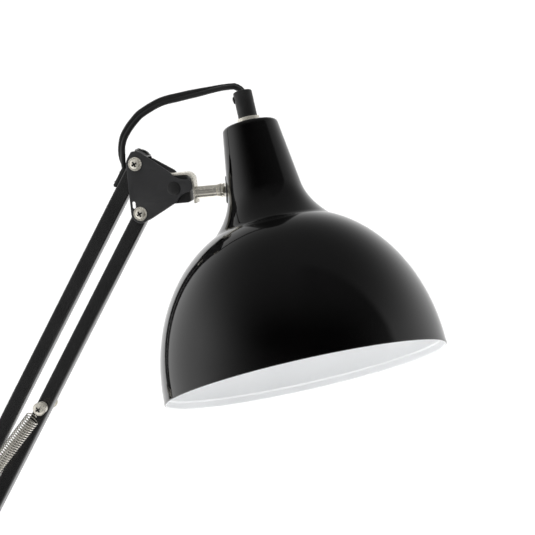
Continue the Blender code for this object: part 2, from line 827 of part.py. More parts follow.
def make_knuckle(knuckle):
    flat_side = KNUCKLE_PLACE @ turn(90, "X")
    outline = arc((-0.0060, 0.0043), 0.0040, 90, 180, 4)
    outline += arc((-0.0050, -0.0060), 0.0050, 180, 270, 4)
    outline += arc((0.0086, -0.0090), 0.0020, 270, 360, 3)
    outline += arc((0.0062, 0.0039), 0.0044, 0, 90, 5)
    finish(
        flat("knuckle_block", outline, [(0, 0, 0.0033)], 0.0094, flat_side),
        PLASTIC,
        knuckle,
    )
    bend = (WEB_FACE - 0.0060, 0.0042)
    strap = [(-0.0080, 0.0102)]
    strap += list(reversed(arc(bend, 0.0060, 0, 90, 6)))
    strap += [(WEB_FACE, -0.0120), (WEB_FACE - PLATE, -0.0120)]
    strap += arc(bend, 0.0060 - PLATE, 0, 90, 6)
    strap += [(-0.0080, 0.0102 - PLATE)]
    finish(flat("knuckle_strap", strap, [], 0.0088, flat_side), NICKEL, knuckle)
    forward = STEM_PLACE @ turn(90, "Y")
    shank_end = WALL_AT - 0.0071
    stem = [
        (0, WALL_AT + 0.0062),
        (THREAD_RADIUS - 0.0004, WALL_AT + 0.0062),
        (THREAD_RADIUS, WALL_AT + 0.0056),
        (THREAD_RADIUS, shank_end),
        (STEM_RADIUS, shank_end),
        (STEM_RADIUS, WEB_FACE + GAP),
        (0, WEB_FACE + GAP),
    ]
    finish(turned("stem", stem, forward, 20), NICKEL, knuckle)
    collar_from = shank_end + GAP
    collar = [
        (0.0045, collar_from + 0.0046),
        (COLLAR_RADIUS, collar_from + 0.0042),
        (COLLAR_RADIUS, collar_from + 0.0004),
        (0.0045, collar_from),
        (THREAD_RADIUS + GAP, collar_from),
        (THREAD_RADIUS + GAP, collar_from + 0.0046),
    ]
    finish(turned("stem_collar", collar, forward, 20, closed=True), NICKEL, knuckle)
    hexagon = arc((0, 0), 0.0046, 0, 360, 6)[:-1]
    bore = [(0, 0, THREAD_RADIUS + GAP)]
    nut_place = forward @ shift(0, 0, WALL_AT + 0.0038)
    finish(flat("stem_nut", hexagon, bore, 0.0028, nut_place), NICKEL, knuckle)


# ---------------------------------------------------------------- shade


def shade_profile():
    """(radius, height) from the hole in the neck's top down to the rim."""
    profile = [(0.0053, 0), (NECK_FLAT_RADIUS, 0)]
    shoulder = NECK_TOP_RADIUS - NECK_FLAT_RADIUS
    for i in range(1, 3):
        angle = math.radians(90 - 45 * i)
        radius = NECK_FLAT_RADIUS + shoulder * math.cos(angle)
        profile.append((radius, -CONE_START * (1 - math.sin(angle))))
    heights = [CONE_END + (CREASE - CONE_END) * i / 4 for i in range(5)]
    dome = RIM_HEIGHT - CREASE
    heights += [RIM_HEIGHT - dome * math.cos(math.radians(90 * i / 7)) for i in range(1, 7)]
    heights.append(RIM_HEIGHT)
    return profile + [(shade_radius(h), -h) for h in heights]


def make_shade(shade):
    shell = turned("shade_shell", shade_profile(), SHADE_PLACE, 28)
    wall = shell.modifiers.new("wall", "SOLIDIFY")
    wall.thickness = SHEET
    wall.offset = -1
    stem_axis = (STEM_PLACE @ turn(SHADE_TURN, "X")).to_3x3() @ Vector((1, 0, 0))
    at_wall = STEM_PLACE @ Vector((WALL_AT, 0, 0))
    drill(shell, [(at_wall, stem_axis, THREAD_RADIUS + 0.0004, 0.012)])
    finish(shell, GLOSS_BLACK, shade)
    make_saddle(shade)
    washer = [
        (NECK_WASHER_RADIUS, GRIP_LOW - GAP),
        (NECK_WASHER_RADIUS, GAP),
        (0.0054, GAP),
        (0.0054, GRIP_LOW - GAP),
    ]
    finish(turned("neck_washer", washer, SHADE_PLACE, 20, closed=True), NICKEL, shade)
    grip = [
        (0.0034, GRIP_TOP),
        (GRIP_RADIUS - 0.0007, GRIP_TOP),
        (GRIP_RADIUS, GRIP_TOP - 0.0008),
        (GRIP_RADIUS, GRIP_LOW),
        (0.0050, GRIP_LOW),
        (0.0050, -0.0075),
        (0.0034, -0.0075),
    ]
    body = turned("cord_grip", grip, SHADE_PLACE, 18, closed=True)
    screw_at = SHADE_PLACE @ Vector((-GRIP_RADIUS, 0, GRIP_SCREW_Z))
    screw_way = SHADE_PLACE.to_3x3() @ Vector((-1, 0, 0))
    drill(body, [(screw_at, screw_way, 0.0016, 0.012)])
    finish(body, PLASTIC, shade)
    screw = [
        (0, GRIP_RADIUS + 0.0013),
        (0.0016, GRIP_RADIUS + 0.0012),
        (0.0026, GRIP_RADIUS + 0.0008),
        (0.0028, GRIP_RADIUS + GAP),
        (0.0013, GRIP_RADIUS + GAP),
        (0.0013, 0.0032),
        (0, 0.0032),
    ]
    side = SHADE_PLACE @ shift(0, 0, GRIP_SCREW_Z) @ turn(-90, "Y")
    finish(turned("grip_screw", screw, side, 16), NICKEL, shade)


def make_saddle(shade):
    """Spring washer bent about the cross axis, its middle resting on the neck."""
    radius = 0.0195
    thick = 0.0008
    crest = WALL_AT - GAP - 0.0002
    place = STEM_PLACE @ turn(SHADE_TURN, "X") @ shift(crest - radius, 0, 0) @ turn(90, "X")
    ring = [
        (radius, 0.012),
        (radius, -0.012),
        (radius - thick, -0.012),
        (radius - thick, 0.012),
    ]
    saddle = turned("saddle_washer", ring, place, 72, closed=True)
    forward = STEM_PLACE @ turn(SHADE_TURN, "X") @ turn(90, "Y")
    oval = forward @ Matrix.Diagonal((1, SADDLE_WIDE / SADDLE_HIGH, 1, 1))
    high, low = crest + 0.004, crest - 0.006
    disc = [(0, high), (SADDLE_HIGH, high), (SADDLE_HIGH, low), (0, low)]
    combine(saddle, turned("saddle_disc", disc, oval, 32, collection=CUTTERS), "INTERSECT")
    axis = forward.to_3x3() @ Vector((0, 0, 1))
    drill(saddle, [(forward @ Vector((0, 0, crest)), axis, THREAD_RADIUS + 0.0004, 0.02)])
    finish(saddle, BLACK_PAINT, shade)


def make_lampholder(shade):
    cap = [
        (0.0056, -0.0016),
        (0.0120, -0.0016),
        (0.0160, -0.0060),
        (0.0160, -0.0150),
        (0.0140, -0.0150),
        (0.0140, -0.0100),
        (0.0056, -0.0082),
    ]
    finish(turned("lampholder_cap", cap, SHADE_PLACE, 20, closed=True), PLASTIC, shade)
    skirt = [
        (0.0136, -0.0120),
        (0.0136, -0.0154),
        (0.0160, -0.0154),
        (0.0160, -0.0580),
        (0.0146, -0.0580),
        (0.0146, -0.0180),
        (0, -0.0180),
    ]
    finish(turned("lampholder_skirt", [(0, -0.0120), *skirt], SHADE_PLACE, 20), CERAMIC, shade)
    cap_top = [
        (0, -0.0300),
        (0.0045, -0.0300),
        (0.0131, -0.0365),
        (0.0131, -0.0580),
        (0, -0.0580),
    ]
    finish(turned("bulb_cap", cap_top, SHADE_PLACE, 16), NICKEL, shade)
    centre = -0.1080
    radius = 0.0300
    glass = [(0, -0.0583), (0.0128, -0.0583), (0.0140, -0.0640), (0.0180, -0.0740), (0.0240, -0.0860)]
    for i in range(8):
        angle = math.radians(35 - 125 * i / 7)
        glass.append((radius * math.cos(angle), centre + radius * math.sin(angle)))
    glass[-1] = (0, centre - radius)
    finish(turned("bulb_glass", glass, SHADE_PLACE, 16), GLASS, shade)


# ---------------------------------------------------------------- cord loops on the arm


def make_loops(post, elbow, head):
    head_route = [
        (-0.0104, 0, -0.0034),
        (-0.0114, 0, 0.0014),
        (-0.0122, 0, 0.0068),
        (-0.0125, 0.0022, 0.0121),
        (-0.0117, 0.0044, 0.0175),
        (-0.0093, 0.0066, 0.0229),
        (-0.0056, 0.0088, 0.0285),
        (-0.0003, 0.0110, 0.0342),
        (0.0129, 0.0128, 0.0421),
        (0.0269, 0.0142, 0.0461),
        (0.0409, 0.0154, 0.0495),
        (0.0560, 0.0166, 0.0530),
        (0.0650, 0.0172, 0.0543),
    ]
    route = [tuple(HEAD_REAR + Vector(p)) for p in head_route]
    route.append(tuple(SHADE_PLACE @ Vector((-0.0035, 0, GRIP_TOP + 0.0062))))
    route.append(tuple(SHADE_PLACE @ Vector((0, 0, GRIP_TOP + 0.0022))))
    cord("head_loop", route, 16, head)
    elbow_route = [
        (0.0047, 0, 0.0267),
        (-0.0015, 0, 0.0157),
        (-0.0115, 0, 0.0065),
        (-0.0230, 0, -0.0060),
        (-0.0320, 0, -0.0200),
        (-0.0385, 0, -0.0360),
        (-0.0400, 0, -0.0510),
        (-0.0375, 0, -0.0640),
        (-0.0305, 0, -0.0735),
        (-0.0232, 0, -0.0790),
        (-0.0175, 0, -0.0845),
        (-0.0143, 0, -0.0912),
    ]
    cord("elbow_loop", [tuple(ELBOW_HIGH_REAR + Vector(p)) for p in elbow_route], 16, elbow)
    base_route = [
        (-0.0336, 0, 0.0837),
        (-0.0312, 0, 0.0768),
        (-0.0302, 0, 0.0690),
        (-0.0302, 0, 0.0600),
        (-0.0285, 0, 0.0505),
        (-0.0245, 0, 0.0425),
        (-0.0190, 0, 0.0382),
        (-0.0134, 0, 0.0370),
    ]
    cord("base_loop", base_route, 9, post)


def main():
    root = joint("base", Vector((0, 0, 0)))
    rocker = joint("switch_rocker", ROCKER_PIVOT, root)
    post = joint("base_swivel", Vector((0, 0, 0)), root)
    lower_rear = joint("lower_arm", BASE_REAR, post)
    lower_front = joint("lower_front", BASE_FRONT, post)
    lower_springs = joint("lower_spring_stretch", LOWER_BOLT, lower_rear)
    elbow = joint("elbow_level", ELBOW_LOW_REAR, lower_rear)
    upper_rear = joint("upper_arm", ELBOW_HIGH_REAR, elbow)
    upper_front = joint("upper_front", ELBOW_HIGH_FRONT, elbow)
    upper_springs = joint("upper_spring_stretch", UPPER_BOLT, upper_front)
    head = joint("head_level", HEAD_REAR, upper_rear)
    knuckle = joint("head_tilt", KNUCKLE, head)
    shade = joint("shade_swivel", STEM_PLACE.translation, knuckle)
    make_base(root)
    make_gland(root)
    make_lead(root)
    make_plug(root)
    make_switch(root, rocker)
    make_post(post)
    make_lower_arm(lower_rear, lower_front, lower_springs)
    make_elbow(elbow)
    make_upper_arm(upper_rear, upper_front, upper_springs)
    make_head(head)
    make_knuckle(knuckle)
    make_shade(shade)
    make_lampholder(shade)
    make_loops(post, elbow, head)


main()
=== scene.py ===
"""Looks of the swing arm desk lamp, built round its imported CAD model. Metres, +Z up."""

import json
import math

import bmesh
import bpy
from mathutils import Matrix, Vector


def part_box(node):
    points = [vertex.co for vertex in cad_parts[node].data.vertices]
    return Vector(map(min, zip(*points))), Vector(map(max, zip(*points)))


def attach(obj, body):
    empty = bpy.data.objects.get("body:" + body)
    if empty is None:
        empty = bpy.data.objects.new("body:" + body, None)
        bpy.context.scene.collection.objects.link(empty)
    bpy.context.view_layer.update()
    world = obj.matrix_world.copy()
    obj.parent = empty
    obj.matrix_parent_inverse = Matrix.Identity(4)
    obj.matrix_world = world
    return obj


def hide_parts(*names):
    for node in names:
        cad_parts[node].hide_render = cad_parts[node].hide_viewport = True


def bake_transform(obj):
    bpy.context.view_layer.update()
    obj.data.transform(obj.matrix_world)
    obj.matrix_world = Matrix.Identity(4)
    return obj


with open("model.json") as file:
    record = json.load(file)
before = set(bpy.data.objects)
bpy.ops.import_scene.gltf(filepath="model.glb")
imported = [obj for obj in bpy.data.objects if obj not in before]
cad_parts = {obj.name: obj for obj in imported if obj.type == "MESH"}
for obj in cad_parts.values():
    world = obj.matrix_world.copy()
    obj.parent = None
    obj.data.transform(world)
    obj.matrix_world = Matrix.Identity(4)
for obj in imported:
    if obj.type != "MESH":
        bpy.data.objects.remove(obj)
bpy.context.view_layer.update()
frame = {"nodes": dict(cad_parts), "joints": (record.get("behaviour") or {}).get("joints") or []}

# Sizes that part.py also uses, in metres and degrees.
TUBE = 0.0105
TUBE_WALL = 0.0012
TUBE_CORNER = 0.0015
TAIL = 0.008
HEAD_TAIL = 0.0085
PLATE = 0.0015
PLATE_INNER = 0.0053
PLATE_OUTER = PLATE_INNER + PLATE
SPRING_Y = 0.0123
NOSE_ANGLE = 7.3
STEM_DROP = 0.005
STEM_RADIUS = 0.0043
THREAD_RADIUS = 0.0026
WEB_FACE = 0.0144
WALL_AT = 0.0378
NECK_TILT = 9.8
SHADE_TURN = -14.5
STEM_HEIGHT = 0.0413
NECK_TOP_RADIUS = 0.0199
NECK_FLAT_RADIUS = 0.0155
CONE_START = 0.0035
CONE_END = 0.0484
CONE_SLOPE = 0.141
FLARE_CURVE = 16.04
CREASE = 0.0754
RIM_HEIGHT = 0.1818
RIM_RADIUS = 0.1000
DOME_LENGTH = 0.1137
DOME_DROP = 0.0900
GRIP_RADIUS = 0.0067
GRIP_LOW = 0.0042
GRIP_TOP = 0.0238
GRIP_SCREW_Z = 0.0190
NECK_WASHER_RADIUS = 0.0080
SADDLE_HIGH = 0.0096
HEAD_CORNER = 0.0069
PLATE_CORNER = 0.008
HEAD_TOP_CORNER = 0.0090
SHEET = 0.0012
COVER_TOP = 0.0225
BASE_RADIUS = 0.100

# Sizes of the fine shapes.
SPRING_RADIUS = 0.0056
SPRING_EYE = 0.0029
SPRING_HOOK = 0.0092
WIRE = 0.00046
COIL_PITCH = 0.0020
SHANK = 0.0019
PIVOT_HOLE = 0.0022
RIVET_HOLE = 0.0033
SADDLE_WIDE = 0.0046
SADDLE_HOLE = 0.0031
SADDLE_BEND = 0.042
HOLDER_RADIUS = 0.0160
BULB_RADIUS = 0.0300
BULB_CENTRE = -0.1080
GROUND = 0.0008
CORD_WIDE = 0.0066
CORD_THIN = 0.0036
RECESS_TURN = 32.0
BEAD = 0.0011

# A noise texture's values lie mostly between these.
PATTERN_LOW = 0.3
PATTERN_HIGH = 0.7

ALONG_Y = Vector((0, 1, 0))

# Camera: the photograph looks past the head from the front, a little from the left and above.
AZIMUTH = 15.0
ELEVATION = 10.0
DISTANCE = 2.0
VIEW_WIDTH = 0.3768
SENSOR = 0.036
SCREW_FACE = 0.0095
AIM_RIGHT = 0.0941
AIM_DOWN = 0.0725


def joint_place(name):
    found = next(j for j in frame["joints"] if j["name"] == name)
    return Vector(found["pos_m"])


def middle(node):
    low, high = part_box(node)
    return (Vector(low) + Vector(high)) / 2


def turn(angle, axis):
    return Matrix.Rotation(math.radians(angle), 4, axis)


def shift(x, y, z):
    return Matrix.Translation(Vector((x, y, z)))


BASE_REAR = joint_place("lower_arm")
BASE_FRONT = joint_place("lower_front")
ELBOW_LOW_REAR = joint_place("elbow_level")
ELBOW_HIGH_REAR = joint_place("upper_arm")
ELBOW_HIGH_FRONT = joint_place("upper_front")
ELBOW_LOW_FRONT = middle("elbow_pivot_low_front")
HEAD_REAR = joint_place("head_level")
HEAD_FRONT = middle("head_pivot_front")
KNUCKLE = joint_place("head_tilt")
LOWER_BOLT = middle("lower_spring_bolt")
LOWER_WAY = (ELBOW_LOW_REAR - BASE_REAR).normalized()
UPPER_WAY = (HEAD_REAR - ELBOW_HIGH_REAR).normalized()
UPPER_BOLT = middle("upper_spring_bolt")
STEM_PLACE = Matrix.Translation(KNUCKLE) @ turn(-NOSE_ANGLE, "Y") @ shift(0, 0, -STEM_DROP)
KNUCKLE_PLACE = Matrix.Translation(KNUCKLE) @ turn(-NOSE_ANGLE, "Y")


def shade_radius(height):
    """Outer radius of the shade at a height below the neck's top."""
    if height <= CONE_END:
        return NECK_TOP_RADIUS + CONE_SLOPE * max(0, height - CONE_START)
    if height <= CREASE:
        over = height - CONE_END
        return shade_radius(CONE_END) + CONE_SLOPE * over + FLARE_CURVE * over * over
    share = (RIM_HEIGHT - height) / DOME_LENGTH
    return RIM_RADIUS - DOME_DROP * (1 - math.sqrt(1 - share * share))


SHADE_PLACE = (
    STEM_PLACE
    @ turn(SHADE_TURN, "X")
    @ shift(WALL_AT, 0, 0)
    @ turn(-NECK_TILT, "Y")
    @ shift(shade_radius(STEM_HEIGHT), 0, STEM_HEIGHT)
)

# ---------------------------------------------------------------- materials


def set_levels(node, **levels):
    """Gives the node's sockets values, by their names with _ for a space."""
    for socket, value in levels.items():
        node.inputs[socket.replace("_", " ")].default_value = value


def material(name, colour, roughness, metallic=0.0, **levels):
    made = bpy.data.materials.new(name)
    made.use_nodes = True
    shader = made.node_tree.nodes["Principled BSDF"]
    set_levels(shader, Base_Color=(*colour, 1), Roughness=roughness, Metallic=metallic, **levels)
    return made


def add_node(made, kind, operation=None, **levels):
    node = made.node_tree.nodes.new("ShaderNode" + kind)
    if operation:
        node.operation = operation
    set_levels(node, **levels)
    return node


def link(made, output, socket):
    """Links an output to a socket, or to the socket of this name on the material's shader."""
    if isinstance(socket, str):
        socket = made.node_tree.nodes["Principled BSDF"].inputs[socket]
    made.node_tree.links.new(output, socket)


def noise(made, scale, detail=4):
    """A noise texture in the object's metres: scale is about one over the size of its blotches."""
    texture = add_node(made, "TexNoise", Scale=scale, Detail=detail)
    link(made, add_node(made, "TexCoord").outputs["Object"], texture.inputs["Vector"])
    return texture.outputs["Fac"]


def vary_colour(made, scale, dark, light):
    ramp = add_node(made, "ValToRGB")
    low, high = ramp.color_ramp.elements
    low.position, low.color = PATTERN_LOW, (*dark, 1)
    high.position, high.color = PATTERN_HIGH, (*light, 1)
    link(made, noise(made, scale), ramp.inputs["Fac"])
    link(made, ramp.outputs["Color"], "Base Color")
    return ramp


def vary_roughness(made, scale, low, high):
    spread = add_node(made, "MapRange", To_Min=low, To_Max=high)
    set_levels(spread, From_Min=PATTERN_LOW, From_Max=PATTERN_HIGH)
    link(made, noise(made, scale), spread.inputs["Value"])
    link(made, spread.outputs["Result"], "Roughness")


def bump(made, scale, detail, depth, strength):
    raised = add_node(made, "Bump", Strength=strength, Distance=depth)
    link(made, noise(made, scale, detail), raised.inputs["Height"])
    link(made, raised.outputs["Normal"], "Normal")


def mix_edge_wear_and_highlight(made, ramp, colour, radius, amount):
    """Mixes a colour in where the surface turns an edge, broken up by noise: edge wear with the tube
    paint, a painted highlight with the plates' satin coat.
    """
    rounded = add_node(made, "Bevel", Radius=radius)
    rounded.samples = 6
    same = add_node(made, "VectorMath", "DOT_PRODUCT")
    link(made, rounded.outputs["Normal"], same.inputs[0])
    link(made, add_node(made, "NewGeometry").outputs["Normal"], same.inputs[1])
    edge = add_node(made, "MapRange", From_Min=0.97, From_Max=0.80)
    link(made, same.outputs["Value"], edge.inputs["Value"])
    broken = add_node(made, "Math", "MULTIPLY")
    link(made, edge.outputs["Result"], broken.inputs[0])
    link(made, noise(made, 900, 5), broken.inputs[1])
    share = add_node(made, "Math", "MULTIPLY")
    share.inputs[1].default_value = amount
    link(made, broken.outputs["Value"], share.inputs[0])
    mix = add_node(made, "Mix")
    mix.data_type = "RGBA"
    colours = [s for s in mix.inputs if s.type == "RGBA"]
    colours[1].default_value = (*colour, 1)
    link(made, share.outputs["Value"], mix.inputs["Factor"])
    link(made, ramp.outputs["Color"], colours[0])
    link(made, next(s for s in mix.outputs if s.type == "RGBA"), "Base Color")


def surface(name, colour, roughness, tone, dull, grain=None, edge_wear_and_highlight=None, **levels):
    """A material that varies over the surface.

    tone is (scale, dark, light), dull is (scale, low, high), grain is
    (scale, detail, depth, strength) and rubbed is (colour, radius, amount).
    """
    # The last entry's edge colour is edge wear on the tubes' paint and a painted highlight on the
    # plates' satin coat.
    made = material(name, colour, roughness, **levels)
    ramp = vary_colour(made, *tone)
    vary_roughness(made, *dull)
    if grain:
        bump(made, *grain)
    if edge_wear_and_highlight:
        mix_edge_wear_and_highlight(made, ramp, *edge_wear_and_highlight)
    return made


def nickel(name, metallic, low, high):
    """Warm nickel plate, slightly clouded, by how metallic and how rough it is."""
    tone = (300, (0.76, 0.72, 0.63), (0.86, 0.83, 0.74))
    grain = (900, 2, 0.000004, 0.4)
    return surface(name, (0.80, 0.76, 0.66), low, tone, (700, low, high), grain, metallic=metallic)


def soft_black(name, level, roughness, grain, depth):
    """A moulded black plastic or rubber, by how grey, how dull and how coarse it is."""
    tone = (80, (level * 0.8,) * 3, (level * 1.3,) * 3)
    dull = (260, roughness - 0.07, roughness + 0.08)
    return surface(name, (level,) * 3, roughness, tone, dull, (grain, 3, depth, 0.6))


# Satin coat of the plates, with a fine texture; the lilac colour mixed in at its edges is a painted
# highlight.
COAT = surface(
    "satin_black_coat",
    (0.026, 0.026, 0.027),
    0.42,
    (60, (0.023, 0.023, 0.024), (0.030, 0.030, 0.031)),
    (220, 0.36, 0.50),
    (2600, 2, 0.00004, 0.6),
    ((0.50, 0.47, 0.53), 0.0005, 2.4),
)
# Semi-gloss paint of the tubes.
TUBE_PAINT = surface(
    "tube_black_paint",
    (0.012, 0.012, 0.013),
    0.16,
    (45, (0.011, 0.011, 0.011), (0.015, 0.015, 0.015)),
    (160, 0.14, 0.19),
    (1500, 2, 0.000008, 0.3),
    ((0.09, 0.09, 0.095), 0.0004, 0.8),
    IOR=1.6,
)
# Deep gloss of the shade, with a lacquer's faint orange peel.
ENAMEL = surface(
    "gloss_black_enamel",
    (0.001, 0.001, 0.001),
    0.07,
    (25, (0.0008, 0.0008, 0.0008), (0.0014, 0.0013, 0.0014)),
    (90, 0.045, 0.085),
    (260, 2, 0.000012, 0.5),
)
WHITE = surface(
    "white_enamel",
    (0.94, 0.95, 0.96),
    0.35,
    (30, (0.93, 0.94, 0.95), (0.96, 0.97, 0.98)),
    (120, 0.30, 0.42),
    (700, 2, 0.00001, 0.4),
)
NICKEL = nickel("nickel_plate", 0.82, 0.14, 0.24)
SCREW_NICKEL = nickel("dull_nickel", 0.62, 0.24, 0.36)
WIRE_STEEL = surface(
    "spring_wire",
    (0.76, 0.74, 0.68),
    0.25,
    (90, (0.66, 0.64, 0.58), (0.86, 0.84, 0.78)),
    (500, 0.16, 0.26),
    (3000, 2, 0.00001, 0.4),
    metallic=0.94,
)
SHEATH = soft_black("cord_sheath", 0.010, 0.42, 900, 0.00003)
PLASTIC = soft_black("moulded_plastic", 0.011, 0.46, 1600, 0.00004)
RUBBER = soft_black("black_rubber", 0.018, 0.68, 1200, 0.00006)
IRON = surface(
    "cast_iron",
    (0.08, 0.08, 0.08),
    0.75,
    (120, (0.05, 0.045, 0.04), (0.13, 0.12, 0.11)),
    (300, 0.6, 0.9),
    (500, 6, 0.0003, 0.9),
    metallic=0.7,
)
# Near-black material for the inside of the screws' cross recesses: painted shade.
RECESS_SHADE_PAINT = soft_black("painted_recess_shade", 0.03, 0.6, 1500, 0.00003)
GLAZE = surface(
    "glazed_ceramic",
    (0.82, 0.80, 0.75),
    0.2,
    (200, (0.78, 0.75, 0.69), (0.86, 0.84, 0.80)),
    (150, 0.12, 0.3),
    (400, 2, 0.00003, 0.5),
)
OPAL = surface(
    "opal_glass",
    (0.93, 0.93, 0.90),
    0.16,
    (50, (0.90, 0.90, 0.87), (0.95, 0.95, 0.93)),
    (200, 0.12, 0.22),
    Transmission_Weight=0.25,
)

# ---------------------------------------------------------------- mesh helpers


def arc(centre, radius, start, end, steps):
    """Points on a circle from start to end degrees, both included."""
    angles = [math.radians(start + (end - start) * i / steps) for i in range(steps + 1)]
    x, y = centre
    return [(x + radius * math.cos(a), y + radius * math.sin(a)) for a in angles]


def arc_through(a, b, c, steps):
    """Points on the circle through three points, from a to c."""
    ax, ay = a
    bx, by = b[0] - ax, b[1] - ay
    cx, cy = c[0] - ax, c[1] - ay
    double = 2 * (bx * cy - by * cx)
    ux = (cy * (bx * bx + by * by) - by * (cx * cx + cy * cy)) / double
    uy = (bx * (cx * cx + cy * cy) - cx * (bx * bx + by * by)) / double
    start = math.degrees(math.atan2(-uy, -ux))
    end = math.degrees(math.atan2(cy - uy, cx - ux))
    if double > 0 and end < start:
        end += 360
    if double < 0 and end > start:
        end -= 360
    return arc((ax + ux, ay + uy), math.hypot(ux, uy), start, end, steps)


def round_hull(centres, radius, steps=16):
    """Outline of equal circles at centres, in anticlockwise order, wrapped by straight edges."""
    outline = []
    for i, here in enumerate(centres):
        before = centres[i - 1]
        after = centres[(i + 1) % len(centres)]
        start = math.degrees(math.atan2(here[1] - before[1], here[0] - before[0])) - 90
        end = math.degrees(math.atan2(after[1] - here[1], after[0] - here[0])) - 90
        if end < start:
            end += 360
        outline += arc(here, radius, start, end, steps)
    return outline


def revolve(bm, profile, place=None, steps=48, closed=False, slot=0):
    """Adds a profile of (radius, height), from the top down, swept round Z, to bm."""
    place = place or Matrix()
    rings = []
    for radius, height in profile:
        if radius < 1e-7:
            rings.append([bm.verts.new(place @ Vector((0, 0, height)))])
            continue
        ring = arc((0, 0), radius, 0, 360, steps)[:-1]
        rings.append([bm.verts.new(place @ Vector((x, y, height))) for x, y in ring])
    pairs = list(zip(rings, rings[1:], strict=False))
    if closed:
        pairs.append((rings[-1], rings[0]))
    for high, low in pairs:
        for i in range(steps):
            j = (i + 1) % steps
            corners = [high[i % len(high)], low[i % len(low)], low[j % len(low)]]
            corners.append(high[j % len(high)])
            corners = list(dict.fromkeys(corners))
            if len(corners) > 2:
                bm.faces.new(corners).material_index = slot


def skin(bm, rings):
    """Adds faces between each ring of vertices and the next."""
    for a, b in zip(rings, rings[1:], strict=False):
        for i in range(len(a)):
            j = (i + 1) % len(a)
            bm.faces.new([a[i], a[j], b[j], b[i]])


def add_object(name, data):
    obj = bpy.data.objects.new(name, data)
    bpy.context.scene.collection.objects.link(obj)
    return obj


def final_mesh(obj):
    """A new mesh of the object with its modifiers or its curve's thickness applied."""
    bpy.context.view_layer.update()
    graph = bpy.context.evaluated_depsgraph_get()
    return bpy.data.meshes.new_from_object(obj.evaluated_get(graph))


def to_object(name, bm, materials, smooth=35):
    mesh = bpy.data.meshes.new(name)
    bm.to_mesh(mesh)
    bm.free()
    return mesh_object(name, mesh, materials, smooth)


def mesh_object(name, mesh, materials, smooth=35):
    for each in materials:
        mesh.materials.append(each)
    mesh.shade_smooth()
    mesh.set_sharp_from_angle(angle=math.radians(smooth))
    return add_object(name, mesh)


def outline_mesh(name, outline, openings, thickness, place, edge=0.0002):
    """A flat outline with openings, extruded about its own plane, with rounded edges."""
    curve = bpy.data.curves.new(name, "CURVE")
    curve.dimensions = "2D"
    curve.fill_mode = "BOTH"
    curve.extrude = thickness / 2 - edge
    curve.bevel_depth = edge
    curve.bevel_resolution = 2
    curve.offset = -edge
    for loop in [outline, *openings]:
        spline = curve.splines.new("POLY")
        spline.points.add(len(loop) - 1)
        for point, (x, y) in zip(spline.points, loop, strict=True):
            point.co = (x, y, 0, 1)
        spline.use_cyclic_u = True
    guide = add_object(name + "_guide", curve)
    mesh = final_mesh(guide)
    bpy.data.objects.remove(guide)
    bpy.data.curves.remove(curve)
    bm = bmesh.new()
    bm.from_mesh(mesh)
    bmesh.ops.remove_doubles(bm, verts=bm.verts, dist=0.000001)
    bmesh.ops.transform(bm, matrix=place, verts=bm.verts)
    bm.to_mesh(mesh)
    bm.free()
    mesh.name = name
    return mesh


def round_hole(centre, radius, steps=32):
    return arc(centre, radius, 0, 360, steps)[:-1]


def put(obj, body, *nodes):
    """The piece rides on a body and stands for these CAD nodes."""
    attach(obj, body)
    if nodes:
        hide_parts(*nodes)


def add_piece(name, bm, looks, smooth, body):
    """The mesh stands for the CAD node of this name and rides on a body."""
    put(to_object(name, bm, looks, smooth), body, name)


def smooth_route(route, step):
    """Points at even steps along a smooth curve through the route's own points."""
    points = [Vector(p) for p in route]
    ends = [points[0] * 2 - points[1], *points, points[-1] * 2 - points[-2]]
    fine = []
    for a, b, c, d in zip(ends, ends[1:], ends[2:], ends[3:], strict=False):
        for i in range(16):
            t = i / 16
            bend = (2 * a - 5 * b + 4 * c - d) * t * t + (3 * b - a - 3 * c + d) * t * t * t
            fine.append(0.5 * (2 * b + (c - a) * t + bend))
    fine.append(points[-1])
    lengths = [0.0]
    for a, b in zip(fine, fine[1:], strict=False):
        lengths.append(lengths[-1] + (b - a).length)
    count = max(2, round(lengths[-1] / step) + 1)
    even = []
    at = 1
    for i in range(count):
        target = lengths[-1] * i / (count - 1)
        while at < len(fine) - 1 and lengths[at] < target:
            at += 1
        span = max(lengths[at] - lengths[at - 1], 1e-9)
        even.append(fine[at - 1].lerp(fine[at], (target - lengths[at - 1]) / span))
    return even


def sweep(bm, points, section, wide=None):
    """Adds a tube along the points; wide gives the section's first direction at a share of them."""
    rings = []
    across = None
    for i, here in enumerate(points):
        ahead = points[min(i + 1, len(points) - 1)] - points[max(i - 1, 0)]
        ahead.normalize()
        if wide:
            across = wide(i / (len(points) - 1), ahead)
        elif across is None:
            across = ahead.orthogonal()
        across = (across - ahead * across.dot(ahead)).normalized()
        up = ahead.cross(across)
        rings.append([bm.verts.new(here + across * x + up * y) for x, y in section])
    skin(bm, rings)
    bm.faces.new(list(reversed(rings[0])))
    bm.faces.new(rings[-1])


def twin_section():
    """Section of a flat twin cord: two round cores side by side, with a groove between them."""
    core = CORD_THIN / 2
    apart = (CORD_WIDE - CORD_THIN) / 2
    meet = math.degrees(math.acos(apart / core))
    right = arc((apart, 0), core, meet - 180, 180 - meet, 8)
    left = arc((-apart, 0), core, meet, 360 - meet, 8)
    return right[:-1] + left[:-1]


def twin_cord(name, points, wide):
    bm = bmesh.new()
    sweep(bm, points, twin_section(), wide)
    return to_object(name, bm, [SHEATH], 60)


def sideways(share, ahead):
    """The width of a cord that runs in the plane of the arms, square to that plane."""
    return ALONG_Y


def lying_flat(share, ahead):
    """The width of a cord that lies flat on the table."""
    return ahead.cross(Vector((0, 0, 1)))


def twisting(stops):
    """A cord's width, turned about it by degrees that stops gives as (share, degrees)."""

    def wide(share, ahead):
        after = next(k for k in range(1, len(stops)) if share <= stops[k][0] + 1e-6)
        low, high = stops[after - 1], stops[after]
        part = (share - low[0]) / (high[0] - low[0])
        part = part * part * (3 - 2 * part)
        angle = math.radians(low[1] + (high[1] - low[1]) * part)
        return ALONG_Y * math.cos(angle) + ahead.cross(ALONG_Y) * math.sin(angle)

    return wide


